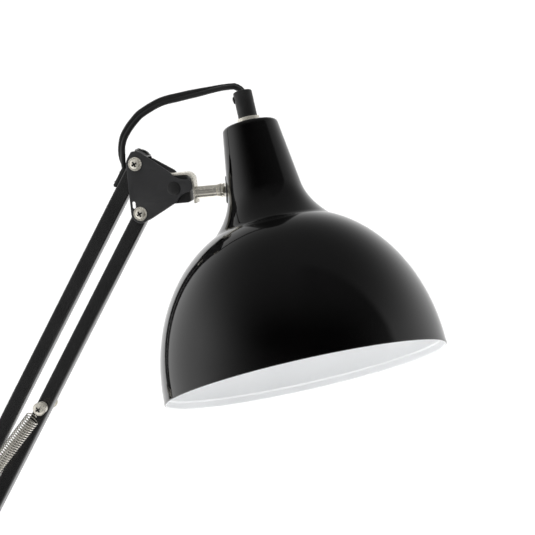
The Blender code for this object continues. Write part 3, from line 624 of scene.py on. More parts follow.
def stretch_of(wide, low, high):
    """The width along one stretch of a cord, from share low to share high of the whole."""

    def part(share, ahead):
        return wide(low + (high - low) * share, ahead)

    return part


# ---------------------------------------------------------------- camera and cords


def make_camera():
    azimuth, elevation = math.radians(AZIMUTH), math.radians(ELEVATION)
    right = Vector((math.cos(azimuth), math.sin(azimuth), 0))
    level = Vector((-math.sin(azimuth), math.cos(azimuth), 0))
    forward = level * math.cos(elevation) - Vector((0, 0, math.sin(elevation)))
    up = right.cross(forward)
    data = bpy.data.cameras.new("camera")
    data.sensor_width = SENSOR * 1000
    data.lens = SENSOR * 1000 * DISTANCE / VIEW_WIDTH
    data.clip_start = 0.05
    data.clip_end = 200
    camera = add_object("camera", data)
    near_face = HEAD_REAR - Vector((0, SCREW_FACE, 0))
    aim = near_face + right * AIM_RIGHT - up * AIM_DOWN
    turned = Matrix((right, up, -forward)).transposed().to_4x4()
    camera.matrix_world = Matrix.Translation(aim - forward * DISTANCE) @ turned
    bpy.context.scene.camera = camera


COIL_CENTRE = middle("lead_coil")
COIL_LANES = (0.0402, 0.0335, 0.0268)
COIL_LAYERS = (0.0021, 0.0059)
TURN_STEPS = 24


def coil_points():
    """Six flat turns: inwards on the table, then outwards on top, clockwise from above."""
    rounds = [(lane, COIL_LAYERS[0]) for lane in COIL_LANES]
    rounds += [(lane, COIL_LAYERS[1]) for lane in reversed(COIL_LANES)]
    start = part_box("lead_coil")[0][0] - CORD_WIDE / 2 + 0.0002
    entry = (COIL_CENTRE.x - start, COIL_LAYERS[0])
    points = []
    stops = [entry, *rounds, rounds[-1]]
    for number, (radius, height) in enumerate(stops[:-1]):
        after = stops[number + 1]
        steps = TURN_STEPS if number else TURN_STEPS // 4
        base = math.radians(90 if number else 180)
        for i in range(steps):
            share = i / steps
            blend = max(0, share * 6 - 5) if number else share
            angle = base - math.radians(360) * i / TURN_STEPS
            r = radius + (after[0] - radius) * blend
            z = height + (after[1] - height) * blend
            spoke = Vector((r * math.cos(angle), r * math.sin(angle), z))
            points.append(COIL_CENTRE.xy.to_3d() + spoke)
    return points


def make_lead():
    """The mains lead on the table: to the switch, on into its coil, and to the plug."""
    half = (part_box("switch_housing")[1][1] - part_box("switch_housing")[0][1]) / 2
    switch = middle("switch_housing")
    route_a = [
        (-0.1240, 0, 0.0058),
        (-0.1360, -0.0006, 0.0046),
        (-0.1450, -0.0040, 0.0030),
        (-0.1560, -0.0120, 0.0021),
        (-0.1650, -0.0250, 0.0021),
        (-0.1695, -0.0380, 0.0021),
        (switch.x, switch.y + half - 0.002, 0.0024),
    ]
    points = smooth_route(route_a, 0.003)
    cord = twin_cord("lead_to_switch", points, lying_flat)
    put(cord, "base", "lead_run_a")
    route_b = [
        (switch.x, switch.y - half + 0.002, 0.0024),
        (-0.1702, -0.1180, 0.0021),
        (-0.1755, -0.1330, 0.0021),
        (-0.1880, -0.1430, 0.0021),
        (-0.2030, -0.1420, 0.0021),
        (-0.2140, -0.1310, 0.0021),
        (-0.2185, -0.1130, 0.0021),
        (-0.2180, -0.0850, 0.0021),
        (-0.2110, -0.0550, 0.0021),
        (-0.2050, -0.0250, 0.0021),
        (-0.2032, 0.0050, 0.0021),
        (-0.2032, 0.0350, 0.0021),
    ]
    coil = coil_points()
    leaving = [
        (-0.1550, 0.1062, 0.0056),
        (-0.1420, 0.1066, 0.0040),
        (-0.1290, 0.1078, 0.0032),
        (-0.1200, 0.1082, 0.0044),
        (-0.1085, 0.1085, 0.0058),
    ]
    points = smooth_route([*route_b, *coil, *leaving], 0.003)
    cord = twin_cord("lead_to_plug", points, lying_flat)
    put(cord, "base", "lead_run_b", "lead_coil", "lead_tail")


make_camera()
make_lead()


def make_head_loop():
    """Flat cord from the sleeve round to the grip, turning from edge on to flat side on."""
    route = [
        (-0.0078, 0, -0.0100),
        (-0.0100, 0, -0.0034),
        (-0.0114, 0, 0.0014),
        (-0.0122, 0.0006, 0.0068),
        (-0.0125, 0.0022, 0.0121),
        (-0.0117, 0.0044, 0.0175),
        (-0.0093, 0.0066, 0.0229),
        (-0.0056, 0.0088, 0.0285),
        (-0.0003, 0.0110, 0.0342),
        (0.0129, 0.0128, 0.0421),
        (0.0269, 0.0142, 0.0461),
        (0.0409, 0.0154, 0.0495),
        (0.0560, 0.0166, 0.0530),
        (0.0650, 0.0172, 0.0543),
    ]
    route = [HEAD_REAR + Vector(p) for p in route]
    route.append(SHADE_PLACE @ Vector((-0.0034, 0, GRIP_TOP + 0.0042)))
    route.append(SHADE_PLACE @ Vector((0, 0, GRIP_TOP)))
    route.append(SHADE_PLACE @ Vector((0, 0, GRIP_TOP - 0.0080)))
    points = smooth_route(route, 0.0022)
    wide = twisting([(0, 0), (0.03, 0), (0.13, 52), (0.25, 66), (0.55, 74), (0.86, 15), (1, 0)])
    last = len(points) - 1
    cuts = [0, round(last * 0.30), round(last * 0.55), last]
    for number, name in enumerate(("head_cord_rear", "head_cord_middle", "head_cord_front")):
        first, end = cuts[number], cuts[number + 1]
        part = points[first : end + 1]
        piece = twin_cord(name, part, stretch_of(wide, first / last, end / last))
        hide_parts("head_loop")
        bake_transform(piece)


def make_elbow_loop():
    route = [
        (0.0080, 0, 0.0325),
        (0.0050, 0, 0.0264),
        (-0.0015, 0, 0.0157),
        (-0.0115, 0, 0.0065),
        (-0.0230, 0, -0.0060),
        (-0.0320, 0, -0.0200),
        (-0.0385, 0, -0.0360),
        (-0.0400, 0, -0.0510),
        (-0.0375, 0, -0.0640),
        (-0.0305, 0, -0.0735),
        (-0.0232, 0, -0.0790),
        (-0.0175, 0, -0.0845),
        (-0.0137, 0, -0.0912),
        (-0.0112, 0, -0.0968),
    ]
    points = smooth_route([ELBOW_HIGH_REAR + Vector(p) for p in route], 0.0025)
    half = len(points) // 2
    upper = twin_cord("elbow_cord_upper", points[: half + 1], sideways)
    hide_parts("elbow_loop")
    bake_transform(upper)
    lower = twin_cord("elbow_cord_lower", points[half:], sideways)
    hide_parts("elbow_loop")
    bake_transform(lower)


def make_base_loop():
    route = [
        (-0.0362, 0, 0.0895),
        (-0.0334, 0, 0.0835),
        (-0.0312, 0, 0.0768),
        (-0.0302, 0, 0.0690),
        (-0.0302, 0, 0.0600),
        (-0.0285, 0, 0.0505),
        (-0.0245, 0, 0.0425),
        (-0.0190, 0, 0.0382),
        (-0.0120, 0, 0.0370),
        (-0.0090, 0, 0.0370),
    ]
    points = smooth_route(route, 0.0025)
    piece = twin_cord("base_cord", points, sideways)
    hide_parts("base_loop")
    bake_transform(piece)


make_head_loop()
make_elbow_loop()
make_base_loop()

# ---------------------------------------------------------------- arms


def make_tube(name, low, high, body, top_tail=TAIL):
    """Square tube with rounded corners and open ends, from below low to past high."""
    way = (high - low).normalized()
    back = ALONG_Y.cross(way)
    start = low - way * TAIL
    end = high + way * top_tail
    bm = bmesh.new()
    half, corner = TUBE / 2, TUBE_CORNER
    inner = half - TUBE_WALL
    outer = []
    inside = []
    for i, (sx, sy) in enumerate(((1, 1), (-1, 1), (-1, -1), (1, -1))):
        centre = (sx * (half - corner), sy * (half - corner))
        outer += arc(centre, corner, 90 * i, 90 * i + 90, 4)
        centre = (sx * (inner - 0.0003), sy * (inner - 0.0003))
        inside += arc(centre, 0.0003, 90 * i, 90 * i + 90, 4)
    rings = []
    for place, loop in ((start, inside), (start, outer), (end, outer), (end, inside)):
        rings.append([bm.verts.new(place + back * x + ALONG_Y * y) for x, y in loop])
    skin(bm, [*rings, rings[0]])
    bmesh.ops.recalc_face_normals(bm, faces=bm.faces)
    for place in (start + way * 0.0006, end - way * 0.0006):
        plug = [bm.verts.new(place + back * x + ALONG_Y * y) for x, y in inside]
        bm.faces.new(plug).material_index = 1
    add_piece(name, bm, [TUBE_PAINT, PLASTIC], 50, body)


def rounded_bar(bm, place, size, radius):
    """Adds a block with all its edges rounded to bm."""
    piece = bmesh.new()
    bmesh.ops.create_cube(piece, size=1, matrix=Matrix.Diagonal((*size, 1)))
    bmesh.ops.bevel(piece, geom=piece.edges[:], offset=radius, segments=3, affect="EDGES")
    bmesh.ops.transform(piece, matrix=place, verts=piece.verts)
    merge(bm, piece)


def merge(bm, other):
    mesh = bpy.data.meshes.new("part")
    other.to_mesh(mesh)
    other.free()
    bm.from_mesh(mesh)
    bpy.data.meshes.remove(mesh)


def make_sleeve(node, way, body):
    """Rubber cord entry: a rounded block with two shallow ribs across its back."""
    back = ALONG_Y.cross(way)
    if back.x > 0:
        back = -back
    start = ELBOW_HIGH_REAR if "upper" in node else BASE_REAR
    along = (middle(node) - start).dot(way)
    centre = start + way * along + back * (TUBE / 2 + 0.0014)
    turned = Matrix((back, ALONG_Y, way)).transposed().to_4x4()
    place = Matrix.Translation(centre) @ turned
    bm = bmesh.new()
    rounded_bar(bm, place, (0.0026, 0.0078, 0.0148), 0.0006)
    for offset in (-0.0040, 0.0040):
        rounded_bar(bm, place @ shift(0.0011, 0, offset), (0.0012, 0.0074, 0.0010), 0.0003)
    add_piece(node, bm, [RUBBER], 35, body)


def make_spring(node, fixed, sliding, side):
    """Tension spring: an eye round each bolt and an open coil between them."""
    span = sliding - fixed
    way = span.normalized()
    normal = ALONG_Y.cross(way)
    start = fixed + ALONG_Y * side * SPRING_Y
    ring = SPRING_RADIUS - WIRE
    coil = span.length - 2 * SPRING_HOOK
    steps = round(coil / COIL_PITCH) * 16
    # Each point is (distance along the spring, across it, depth); the far end mirrors this one.
    near_end = [(x, z, 0) for x, z in arc((0, 0), SPRING_EYE, 30, 325, 18)]
    near_end += [(SPRING_EYE + 0.0012, -0.0012, 0), (SPRING_EYE + 0.0030, -0.0003, 0)]
    for i in range(1, 8):
        share = i / 8
        angle = math.radians(-180 + 180 * share)
        reach = ring * math.sin(math.radians(90 * share))
        x = SPRING_HOOK - 0.0030 * (1 - share)
        near_end.append((x, reach * math.cos(angle), reach * math.sin(angle)))
    turns = []
    for i in range(steps + 1):
        angle = 2 * math.pi * i / 16
        x = SPRING_HOOK + coil * i / steps
        turns.append((x, ring * math.cos(angle), ring * math.sin(angle)))
    far_end = [(span.length - x, across, -depth) for x, across, depth in reversed(near_end)]
    points = [
        start + way * x + normal * across - ALONG_Y * depth
        for x, across, depth in [*near_end, *turns, *far_end]
    ]
    bm = bmesh.new()
    sweep(bm, points, arc((0, 0), WIRE, 0, 360, 7)[:-1])
    piece = to_object(node, bm, [WIRE_STEEL], 80)
    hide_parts(node)
    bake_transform(piece)


def make_arms():
    make_tube("lower_rear_tube", BASE_REAR, ELBOW_LOW_REAR, "lower_rear_arm")
    make_tube("lower_front_tube", BASE_FRONT, ELBOW_LOW_FRONT, "lower_front_arm")
    make_tube("upper_rear_tube", ELBOW_HIGH_REAR, HEAD_REAR, "upper_rear_arm", HEAD_TAIL)
    make_tube("upper_front_tube", ELBOW_HIGH_FRONT, HEAD_FRONT, "upper_front_arm", HEAD_TAIL)
    make_sleeve("lower_sleeve_bottom", LOWER_WAY, "lower_rear_arm")
    make_sleeve("lower_sleeve_top", LOWER_WAY, "lower_rear_arm")
    make_sleeve("upper_sleeve_bottom", UPPER_WAY, "upper_rear_arm")
    make_sleeve("upper_sleeve_top", UPPER_WAY, "upper_rear_arm")
    springs = (
        ("upper_spring_", UPPER_BOLT, ELBOW_HIGH_REAR, "upper_front_arm", "upper_springs"),
        ("lower_spring_", LOWER_BOLT, BASE_FRONT, "lower_rear_arm", "lower_springs"),
    )
    for word, side in (("near", -1), ("far", 1)):
        for name, fixed, sliding, body, sliding_body in springs:
            make_spring(name + word, fixed, sliding, side)


make_arms()

# ---------------------------------------------------------------- plates and screws


def flat_point(v):
    return (v.x, v.z)


def make_plate(node, outline, openings, side, body):
    """A plate with well rounded edges, in front of the tubes, side -1, or behind them, side 1."""
    place = shift(0, side * (PLATE_INNER + PLATE / 2), 0) @ turn(90, "X")
    mesh = outline_mesh(node, outline, openings, PLATE, place, 0.0004)
    put(mesh_object(node, mesh, [COAT], 40), body, node)


def head_outline(shoulder):
    """Three-cornered plate, scooped above and below its tongue; shoulder is where its top starts."""
    pair = HEAD_FRONT - HEAD_REAR
    outline = arc((0, 0), HEAD_TOP_CORNER, shoulder[0], 112, 14)
    outline += arc((0, 0), HEAD_CORNER, 150, 186, 8)
    outline += arc((pair.x, pair.z), HEAD_CORNER, 186, 306, 20)
    outline.append((0.0276, -0.0276))
    outline += arc_through((0.0303, -0.0268), (0.0344, -0.0209), (0.0402, -0.0181), 12)
    outline += arc_through((0.0407, -0.0176), (0.0418, -0.0138), (0.0388, -0.0096), 12)
    outline += arc_through((0.0383, -0.0094), (0.0309, -0.0089), (0.0252, -0.0049), 14)
    outline += shoulder[1:]
    return [(HEAD_REAR.x + x, HEAD_REAR.z + z) for x, z in outline]


def slot_outline():
    low = HEAD_REAR + Vector((-0.0010, 0, -0.0308))
    high = HEAD_REAR + Vector((-0.0013, 0, -0.0281))
    return round_hull([flat_point(low), flat_point(high)], 0.0012)


def pan_head(bm, place, radius, face):
    """Low domed head standing on face, with a cross recess whose inside is darker: painted shade."""
    rise = 0.0022

    def dome(reach):
        return face + 0.0005 + (rise - 0.0005) * math.sqrt(max(0, 1 - (reach / radius) ** 2.6))

    head = bmesh.new()
    reaches = [radius * share for share in (0.3, 0.55, 0.72, 0.84, 0.92, 0.97)]
    profile = [(0, face + rise)] + [(reach, dome(reach)) for reach in reaches]
    profile += [(radius, face + 0.0006), (radius, face), (0, face)]
    revolve(head, profile, steps=40)
    bmesh.ops.recalc_face_normals(head, faces=head.faces)
    solid = to_object("head", head, [])
    cutter = bmesh.new()
    arm, wide, low, high = 0.0022, 0.00058, face + 0.0006, face + rise + 0.001
    cross = []
    for angle in (0, 90, 180, 270):
        facing = turn(angle, "Z")
        for x, y in ((wide, -wide), (arm, -wide), (arm, wide)):
            cross.append(facing @ Vector((x, y, 0)))
    below = [cutter.verts.new((p.x * 0.75, p.y * 0.75, low)) for p in cross]
    above = [cutter.verts.new((p.x * 1.15, p.y * 1.15, high)) for p in cross]
    cutter.faces.new(list(reversed(below)))
    cutter.faces.new(above)
    for i in range(len(cross)):
        j = (i + 1) % len(cross)
        cutter.faces.new([below[i], below[j], above[j], above[i]])
    bmesh.ops.recalc_face_normals(cutter, faces=cutter.faces)
    bmesh.ops.transform(cutter, matrix=turn(RECESS_TURN, "Z"), verts=cutter.verts)
    tool = to_object("recess", cutter, [])
    step = solid.modifiers.new("recess", "BOOLEAN")
    step.operation = "DIFFERENCE"
    step.object = tool
    mesh = final_mesh(solid)
    # Faces inside the recess take the second, darker material: painted shade.
    for face_of in mesh.polygons:
        spot = face_of.center
        reach = math.hypot(spot.x, spot.y)
        inside = reach < arm * 1.2 and face + 0.0002 < spot.z < dome(reach) - 0.0001
        face_of.material_index = 1 if inside else 0
    mesh.transform(place)
    bm.from_mesh(mesh)
    for used in (solid, tool):
        bpy.data.objects.remove(used)
    bpy.data.meshes.remove(mesh)


def washer(bm, place, outer, inner, low, thick, steps=40):
    edge = 0.0001
    profile = [
        (outer - edge, low + thick),
        (outer, low + thick - edge),
        (outer, low + edge),
        (outer - edge, low),
        (inner, low),
        (inner, low + thick),
    ]
    revolve(bm, profile, place, steps, closed=True)


def hex_nut(bm, place, across, bore, low, thick):
    """Hexagon nut with its corners turned down at both faces."""
    nut = bmesh.new()
    edge, small = 0.0004, across * 0.92
    loops = [(small, low), (across, low + edge), (across, low + thick - edge), (small, low + thick)]
    loops += [(bore, low + thick), (bore, low)]
    rings = []
    for radius, height in loops:
        ring = arc((0, 0), radius, 0, 360, 6)[:-1]
        rings.append([nut.verts.new((x, y, height)) for x, y in ring])
    skin(nut, [*rings, rings[0]])
    bmesh.ops.recalc_face_normals(nut, faces=nut.faces)
    bmesh.ops.transform(nut, matrix=place, verts=nut.verts)
    merge(bm, nut)


def make_pivot(node, centre, body):
    """Pan head screw and washer in front, shank through, washer and nut behind."""
    place = Matrix.Translation(centre) @ turn(90, "X")
    behind = place @ turn(180, "X")
    face = PLATE_OUTER + 0.0002
    bm = bmesh.new()
    washer(bm, place, 0.00495, SHANK, face, 0.0006)
    pan_head(bm, place, 0.0036, face + 0.0006)
    top, end = face + 0.001, -face - 0.005
    shank = [(0, top), (SHANK, top), (SHANK, end + 0.0005), (SHANK - 0.0004, end), (0, end)]
    revolve(bm, shank, place, 24)
    washer(bm, behind, 0.0046, SHANK, face, 0.0006)
    hex_nut(bm, behind, 0.0040, SHANK, face + 0.0007, 0.0028)
    add_piece(node, bm, [SCREW_NICKEL, RECESS_SHADE_PAINT], 32, body)


def make_long_bolt(node, centre, inner, body):
    """Long bolt that a spring hooks on at each side: spacer, groove, washer and head or nut."""
    place = Matrix.Translation(centre) @ turn(90, "X")
    behind = place @ turn(180, "X")
    bm = bmesh.new()
    for side in (place, behind):
        spacer = [
            (0.0033, 0.0112),
            (0.0042, 0.0106),
            (0.0042, inner + 0.0010),
            (0.0036, inner + 0.0003),
            (SHANK, inner + 0.0003),
            (SHANK, 0.0112),
        ]
        revolve(bm, spacer, side, 32, closed=True)
        washer(bm, side, 0.0047, SHANK, 0.01335, 0.0007)
    shank = [(0, 0.0145), (0.0018, 0.0145), (0.0018, -0.0168), (0.0014, -0.0172), (0, -0.0172)]
    revolve(bm, shank, place, 24)
    pan_head(bm, place, 0.0041, 0.0141)
    hex_nut(bm, behind, 0.0042, 0.0018, 0.0141, 0.0024)
    add_piece(node, bm, [SCREW_NICKEL, RECESS_SHADE_PAINT], 32, body)


def make_plates_and_pivots():
    base = [(-0.0090, 0.0385), (0.0090, 0.0385), flat_point(BASE_FRONT), flat_point(BASE_REAR)]
    holes = [round_hole(flat_point(p), PIVOT_HOLE) for p in (BASE_REAR, BASE_FRONT)]
    outline = round_hull(base, PLATE_CORNER)
    make_plate("base_plate_near", outline, holes, -1, "post")
    make_plate("base_plate_far", outline, holes, 1, "post")
    corners = [ELBOW_LOW_REAR, ELBOW_LOW_FRONT, ELBOW_HIGH_FRONT, ELBOW_HIGH_REAR]
    holes = [round_hole(flat_point(p), PIVOT_HOLE) for p in corners]
    outline = round_hull([flat_point(p) for p in corners], PLATE_CORNER)
    make_plate("elbow_plate_near", outline, holes, -1, "elbow")
    make_plate("elbow_plate_far", outline, holes, 1, "elbow")
    holes = [round_hole(flat_point(p), PIVOT_HOLE) for p in (HEAD_REAR, HEAD_FRONT)]
    holes += [round_hole(flat_point(KNUCKLE), RIVET_HOLE), slot_outline()]
    make_plate("head_plate_near", head_outline([57.7]), holes, -1, "head_bracket")
    make_plate("head_plate_far", head_outline([18.0, (0.0093, 0.0028)]), holes, 1, "head_bracket")
    make_pivot("base_pivot_rear", BASE_REAR, "post")
    make_pivot("elbow_pivot_low_rear", ELBOW_LOW_REAR, "elbow")
    make_pivot("elbow_pivot_low_front", ELBOW_LOW_FRONT, "elbow")
    make_pivot("elbow_pivot_high_front", ELBOW_HIGH_FRONT, "elbow")
    make_pivot("head_pivot_rear", HEAD_REAR, "head_bracket")
    make_pivot("head_pivot_front", HEAD_FRONT, "head_bracket")
    make_long_bolt("base_pivot_front", BASE_FRONT, PLATE_OUTER, "post")
    make_long_bolt("elbow_pivot_high_rear", ELBOW_HIGH_REAR, PLATE_OUTER, "elbow")
    make_long_bolt("upper_spring_bolt", UPPER_BOLT, TUBE / 2, "upper_front_arm")
    make_long_bolt("lower_spring_bolt", LOWER_BOLT, TUBE / 2, "lower_rear_arm")


make_plates_and_pivots()

# ---------------------------------------------------------------- knuckle


def make_knuckle():
    side = KNUCKLE_PLACE @ turn(90, "X")
    outline = arc((-0.0060, 0.0043), 0.0040, 90, 180, 10)
    outline += arc((-0.0050, -0.0060), 0.0050, 180, 270, 10)
    outline += arc((0.0086, -0.0090), 0.0020, 270, 360, 8)
    outline += arc((0.0062, 0.0039), 0.0044, 0, 90, 12)
    mesh = outline_mesh("knuckle_block", outline, [round_hole((0, 0), RIVET_HOLE)], 0.0094, side)
    put(mesh_object("knuckle_block", mesh, [PLASTIC], 40), "knuckle", "knuckle_block")
    bend = (WEB_FACE - 0.0060, 0.0042)
    strap = [(-0.0080, 0.0102)]
    strap += list(reversed(arc(bend, 0.0060, 0, 90, 16)))
    strap += [(WEB_FACE, -0.0120), (WEB_FACE - PLATE, -0.0120)]
    strap += arc(bend, 0.0060 - PLATE, 0, 90, 16)
    strap += [(-0.0080, 0.0102 - PLATE)]
    mesh = outline_mesh("knuckle_strap", strap, [], 0.0088, side, 0.0003)
    put(mesh_object("knuckle_strap", mesh, [SCREW_NICKEL], 32), "knuckle", "knuckle_strap")
    rivet = bmesh.new()
    across = Matrix.Translation(KNUCKLE) @ turn(90, "X")
    face = PLATE_OUTER + 0.0001
    half = [(0, face + 0.0005), (0.0042, face + 0.0005), (0.0049, face + 0.0001)]
    half += [(0.0049, face), (0.0030, face)]
    revolve(rivet, half + [(r, -h) for r, h in reversed(half)], across, 40)
    add_piece("knuckle_rivet", rivet, [PLASTIC], 30, "head_bracket")


def make_stem():
    forward = STEM_PLACE @ turn(90, "Y")
    shank_end = WALL_AT - 0.0071
    bm = bmesh.new()
    tip, pitch, root, foot = WALL_AT + 0.0056, 0.0008, THREAD_RADIUS - 0.0003, STEM_RADIUS + 0.0002
    profile = [(0, tip + 0.0006), (0.0020, tip + 0.0006), (THREAD_RADIUS, tip)]
    for i in range(14):
        low = tip - pitch * i
        if low - pitch < shank_end:
            break
        profile += [(root, low - pitch / 2), (THREAD_RADIUS, low - pitch)]
    profile += [(THREAD_RADIUS, shank_end), (STEM_RADIUS - 0.0004, shank_end)]
    profile += [(STEM_RADIUS, shank_end - 0.0004), (STEM_RADIUS, WEB_FACE + 0.0012)]
    profile += [(foot, WEB_FACE + 0.0004), (foot, WEB_FACE), (0, WEB_FACE)]
    revolve(bm, profile, forward, 56)
    add_piece("stem", bm, [NICKEL], 30, "knuckle")
    collar = bmesh.new()
    at = shank_end + 0.0001
    for outer, thick in ((0.0046, 0.0012), (0.0049, 0.0010), (0.0044, 0.0011), (0.0049, 0.0008)):
        washer(collar, forward, outer, THREAD_RADIUS + 0.0002, at, thick, 48)
        at += thick + 0.0001
    add_piece("stem_collar", collar, [NICKEL], 30, "knuckle")
    nut = bmesh.new()
    hex_nut(nut, forward, 0.0046, THREAD_RADIUS + 0.0001, WALL_AT + 0.0024, 0.0028)
    add_piece("stem_nut", nut, [NICKEL], 30, "knuckle")


def make_saddle():
    """Oval spring washer bent about the cross axis, its middle on the neck, its horns standing off."""
    crest = WALL_AT - 0.0002
    place = STEM_PLACE @ turn(SHADE_TURN, "X")
    bm = bmesh.new()
    rings = []
    for ring in range(9):
        share = ring / 8
        high = SADDLE_HOLE + (SADDLE_HIGH - SADDLE_HOLE) * share
        wide = SADDLE_HOLE + (SADDLE_WIDE - SADDLE_HOLE) * share
        row = []
        for y, z in arc((0, 0), 1, 0, 360, 48)[:-1]:
            back = SADDLE_BEND - math.sqrt(SADDLE_BEND * SADDLE_BEND - (z * high) ** 2)
            row.append(bm.verts.new(place @ Vector((crest - back, y * wide, z * high))))
        rings.append(row)
    skin(bm, rings)
    bmesh.ops.recalc_face_normals(bm, faces=bm.faces)
    obj = to_object("saddle_washer", bm, [COAT], 40)
    wall = obj.modifiers.new("wall", "SOLIDIFY")
    wall.thickness = 0.0006
    wall.offset = 0
    put(obj, "shade", "saddle_washer")


make_knuckle()
make_stem()
make_saddle()

# ---------------------------------------------------------------- shade


def offset_profile(profile, distance):
    """The profile moved inwards, square to its own line."""
    moved = []
    for i, (radius, height) in enumerate(profile):
        before = profile[max(i - 1, 0)]
        after = profile[min(i + 1, len(profile) - 1)]
        run, rise = after[0] - before[0], after[1] - before[1]
        length = math.hypot(run, rise)
        moved.append((radius + rise / length * distance, height - run / length * distance))
    return moved


def make_shell():
    outer = [(0.0053, 0), (0.0100, 0), (NECK_FLAT_RADIUS, 0)]
    shoulder = NECK_TOP_RADIUS - NECK_FLAT_RADIUS
    for i in range(1, 7):
        angle = math.radians(90 - 15 * i)
        reach = NECK_FLAT_RADIUS + shoulder * math.cos(angle)
        outer.append((reach, -CONE_START * (1 - math.sin(angle))))
    heights = [0.008 + (CONE_END - 0.008) * i / 5 for i in range(6)]
    heights += [CONE_END + (CREASE - CONE_END) * i / 12 for i in range(1, 13)]
    dome = RIM_HEIGHT - CREASE
    heights += [RIM_HEIGHT - dome * math.cos(math.radians(90 * i / 32)) for i in range(1, 32)]
    outer += [(shade_radius(h), -h) for h in heights]
    inner = offset_profile(outer, SHEET)
    inner[0] = (outer[0][0], -SHEET)
    bead = arc((RIM_RADIUS - SHEET / 2, -RIM_HEIGHT + BEAD * 0.6), BEAD * 0.75, 10, -190, 10)
    step = [(RIM_RADIUS - SHEET * 1.2, -RIM_HEIGHT + 0.0042)]
    step.append((RIM_RADIUS - SHEET * 2.1, -RIM_HEIGHT + 0.0054))
    inner = [p for p in inner if p[1] > -RIM_HEIGHT + 0.0065]
    bm = bmesh.new()
    revolve(bm, [*outer, *bead[:6]], SHADE_PLACE, 160)
    revolve(bm, [*bead[5:], *step, *reversed(inner), outer[0]], SHADE_PLACE, 160, slot=1)
    bmesh.ops.remove_doubles(bm, verts=bm.verts, dist=0.000002)
    add_piece("shade_shell", bm, [ENAMEL, WHITE], 28, "shade")


def make_grip():
    bm = bmesh.new()
    washer(bm, SHADE_PLACE, NECK_WASHER_RADIUS, 0.0054, 0.0002, GRIP_LOW - 0.0003, 56)
    add_piece("neck_washer", bm, [SCREW_NICKEL], 30, "shade")
    grip = bmesh.new()
    top, wide = GRIP_TOP, GRIP_RADIUS
    profile = [(0.0030, top - 0.0025), (0.0033, top - 0.0008), (0.0040, top), (wide - 0.0009, top)]
    profile += [(wide - 0.0003, top - 0.0003), (wide, top - 0.0009), (wide, GRIP_LOW + 0.0004)]
    profile += [(wide - 0.0003, GRIP_LOW), (0.0050, GRIP_LOW)]
    profile += [(0.0050, -0.0075), (0.0034, -0.0075)]
    revolve(grip, profile, SHADE_PLACE, 56, closed=True)
    boss = SHADE_PLACE @ shift(0, 0, GRIP_SCREW_Z) @ turn(-90, "Y")
    add_piece("cord_grip", grip, [PLASTIC], 35, "shade")
    screw = bmesh.new()
    profile = [(0, wide + 0.0012), (0.0014, wide + 0.0011), (0.0023, wide + 0.0008)]
    profile += [(0.0028, wide + 0.0003), (0.0028, wide - 0.0002), (0.0013, wide - 0.0002)]
    profile += [(0.0013, 0.0034), (0, 0.0034)]
    revolve(screw, profile, boss, 32)
    add_piece("grip_screw", screw, [PLASTIC], 35, "shade")


def make_lampholder():
    cap = bmesh.new()
    wide, groove = HOLDER_RADIUS, HOLDER_RADIUS - 0.0005
    profile = [(0.0056, -0.0016), (0.0118, -0.0016), (0.0145, -0.0026), (0.0158, -0.0048)]
    profile.append((wide, -0.0075))
    for i in range(4):
        rib = -0.0080 - 0.0016 * i
        profile += [(wide, rib), (groove, rib - 0.0004), (groove, rib - 0.0012)]
    profile += [(wide, -0.0150), (0.0140, -0.0150), (0.0140, -0.0100), (0.0056, -0.0082)]
    revolve(cap, profile, SHADE_PLACE, 64, closed=True)
    add_piece("lampholder_cap", cap, [PLASTIC], 35, "shade")
    skirt = bmesh.new()
    profile = [(0, -0.0120), (0.0136, -0.0120), (0.0136, -0.0154), (0.0158, -0.0154)]
    profile += [(wide, -0.0160), (wide, -0.0500), (0.0164, -0.0520), (0.0164, -0.0572)]
    profile += [(0.0158, -0.0580), (0.0150, -0.0580), (0.0146, -0.0574), (0.0146, -0.0180)]
    profile.append((0, -0.0180))
    revolve(skirt, profile, SHADE_PLACE, 64)
    add_piece("lampholder_skirt", skirt, [GLAZE], 35, "shade")
    bulb = bmesh.new()
    profile = [(0, -0.0300), (0.0038, -0.0301), (0.0046, -0.0308), (0.0050, -0.0322)]
    profile += [(0.0100, -0.0345), (0.0124, -0.0362)]
    for i in range(6):
        profile += [(0.0131, -0.0372 - 0.0032 * i), (0.0123, -0.0388 - 0.0032 * i)]
    profile += [(0.0131, -0.0570), (0.0129, -0.0580), (0, -0.0580)]
    revolve(bulb, profile, SHADE_PLACE, 56)
    add_piece("bulb_cap", bulb, [NICKEL], 35, "shade")
    glass = bmesh.new()
    profile = [(0, -0.0583), (0.0128, -0.0583), (0.0132, -0.0610), (0.0145, -0.0660)]
    profile += [(0.0172, -0.0730), (0.0208, -0.0800)]
    for degrees in (44, 34, 23, 11, 0, -12, -24, -36, -48, -60, -70, -80):
        angle = math.radians(degrees)
        height = BULB_CENTRE + BULB_RADIUS * math.sin(angle)
        profile.append((BULB_RADIUS * math.cos(angle), height))
    profile.append((0, BULB_CENTRE - BULB_RADIUS))
    revolve(glass, profile, SHADE_PLACE, 64)
    add_piece("bulb_glass", glass, [OPAL], 60, "shade")


make_shell()
make_grip()
make_lampholder()

# ---------------------------------------------------------------- base


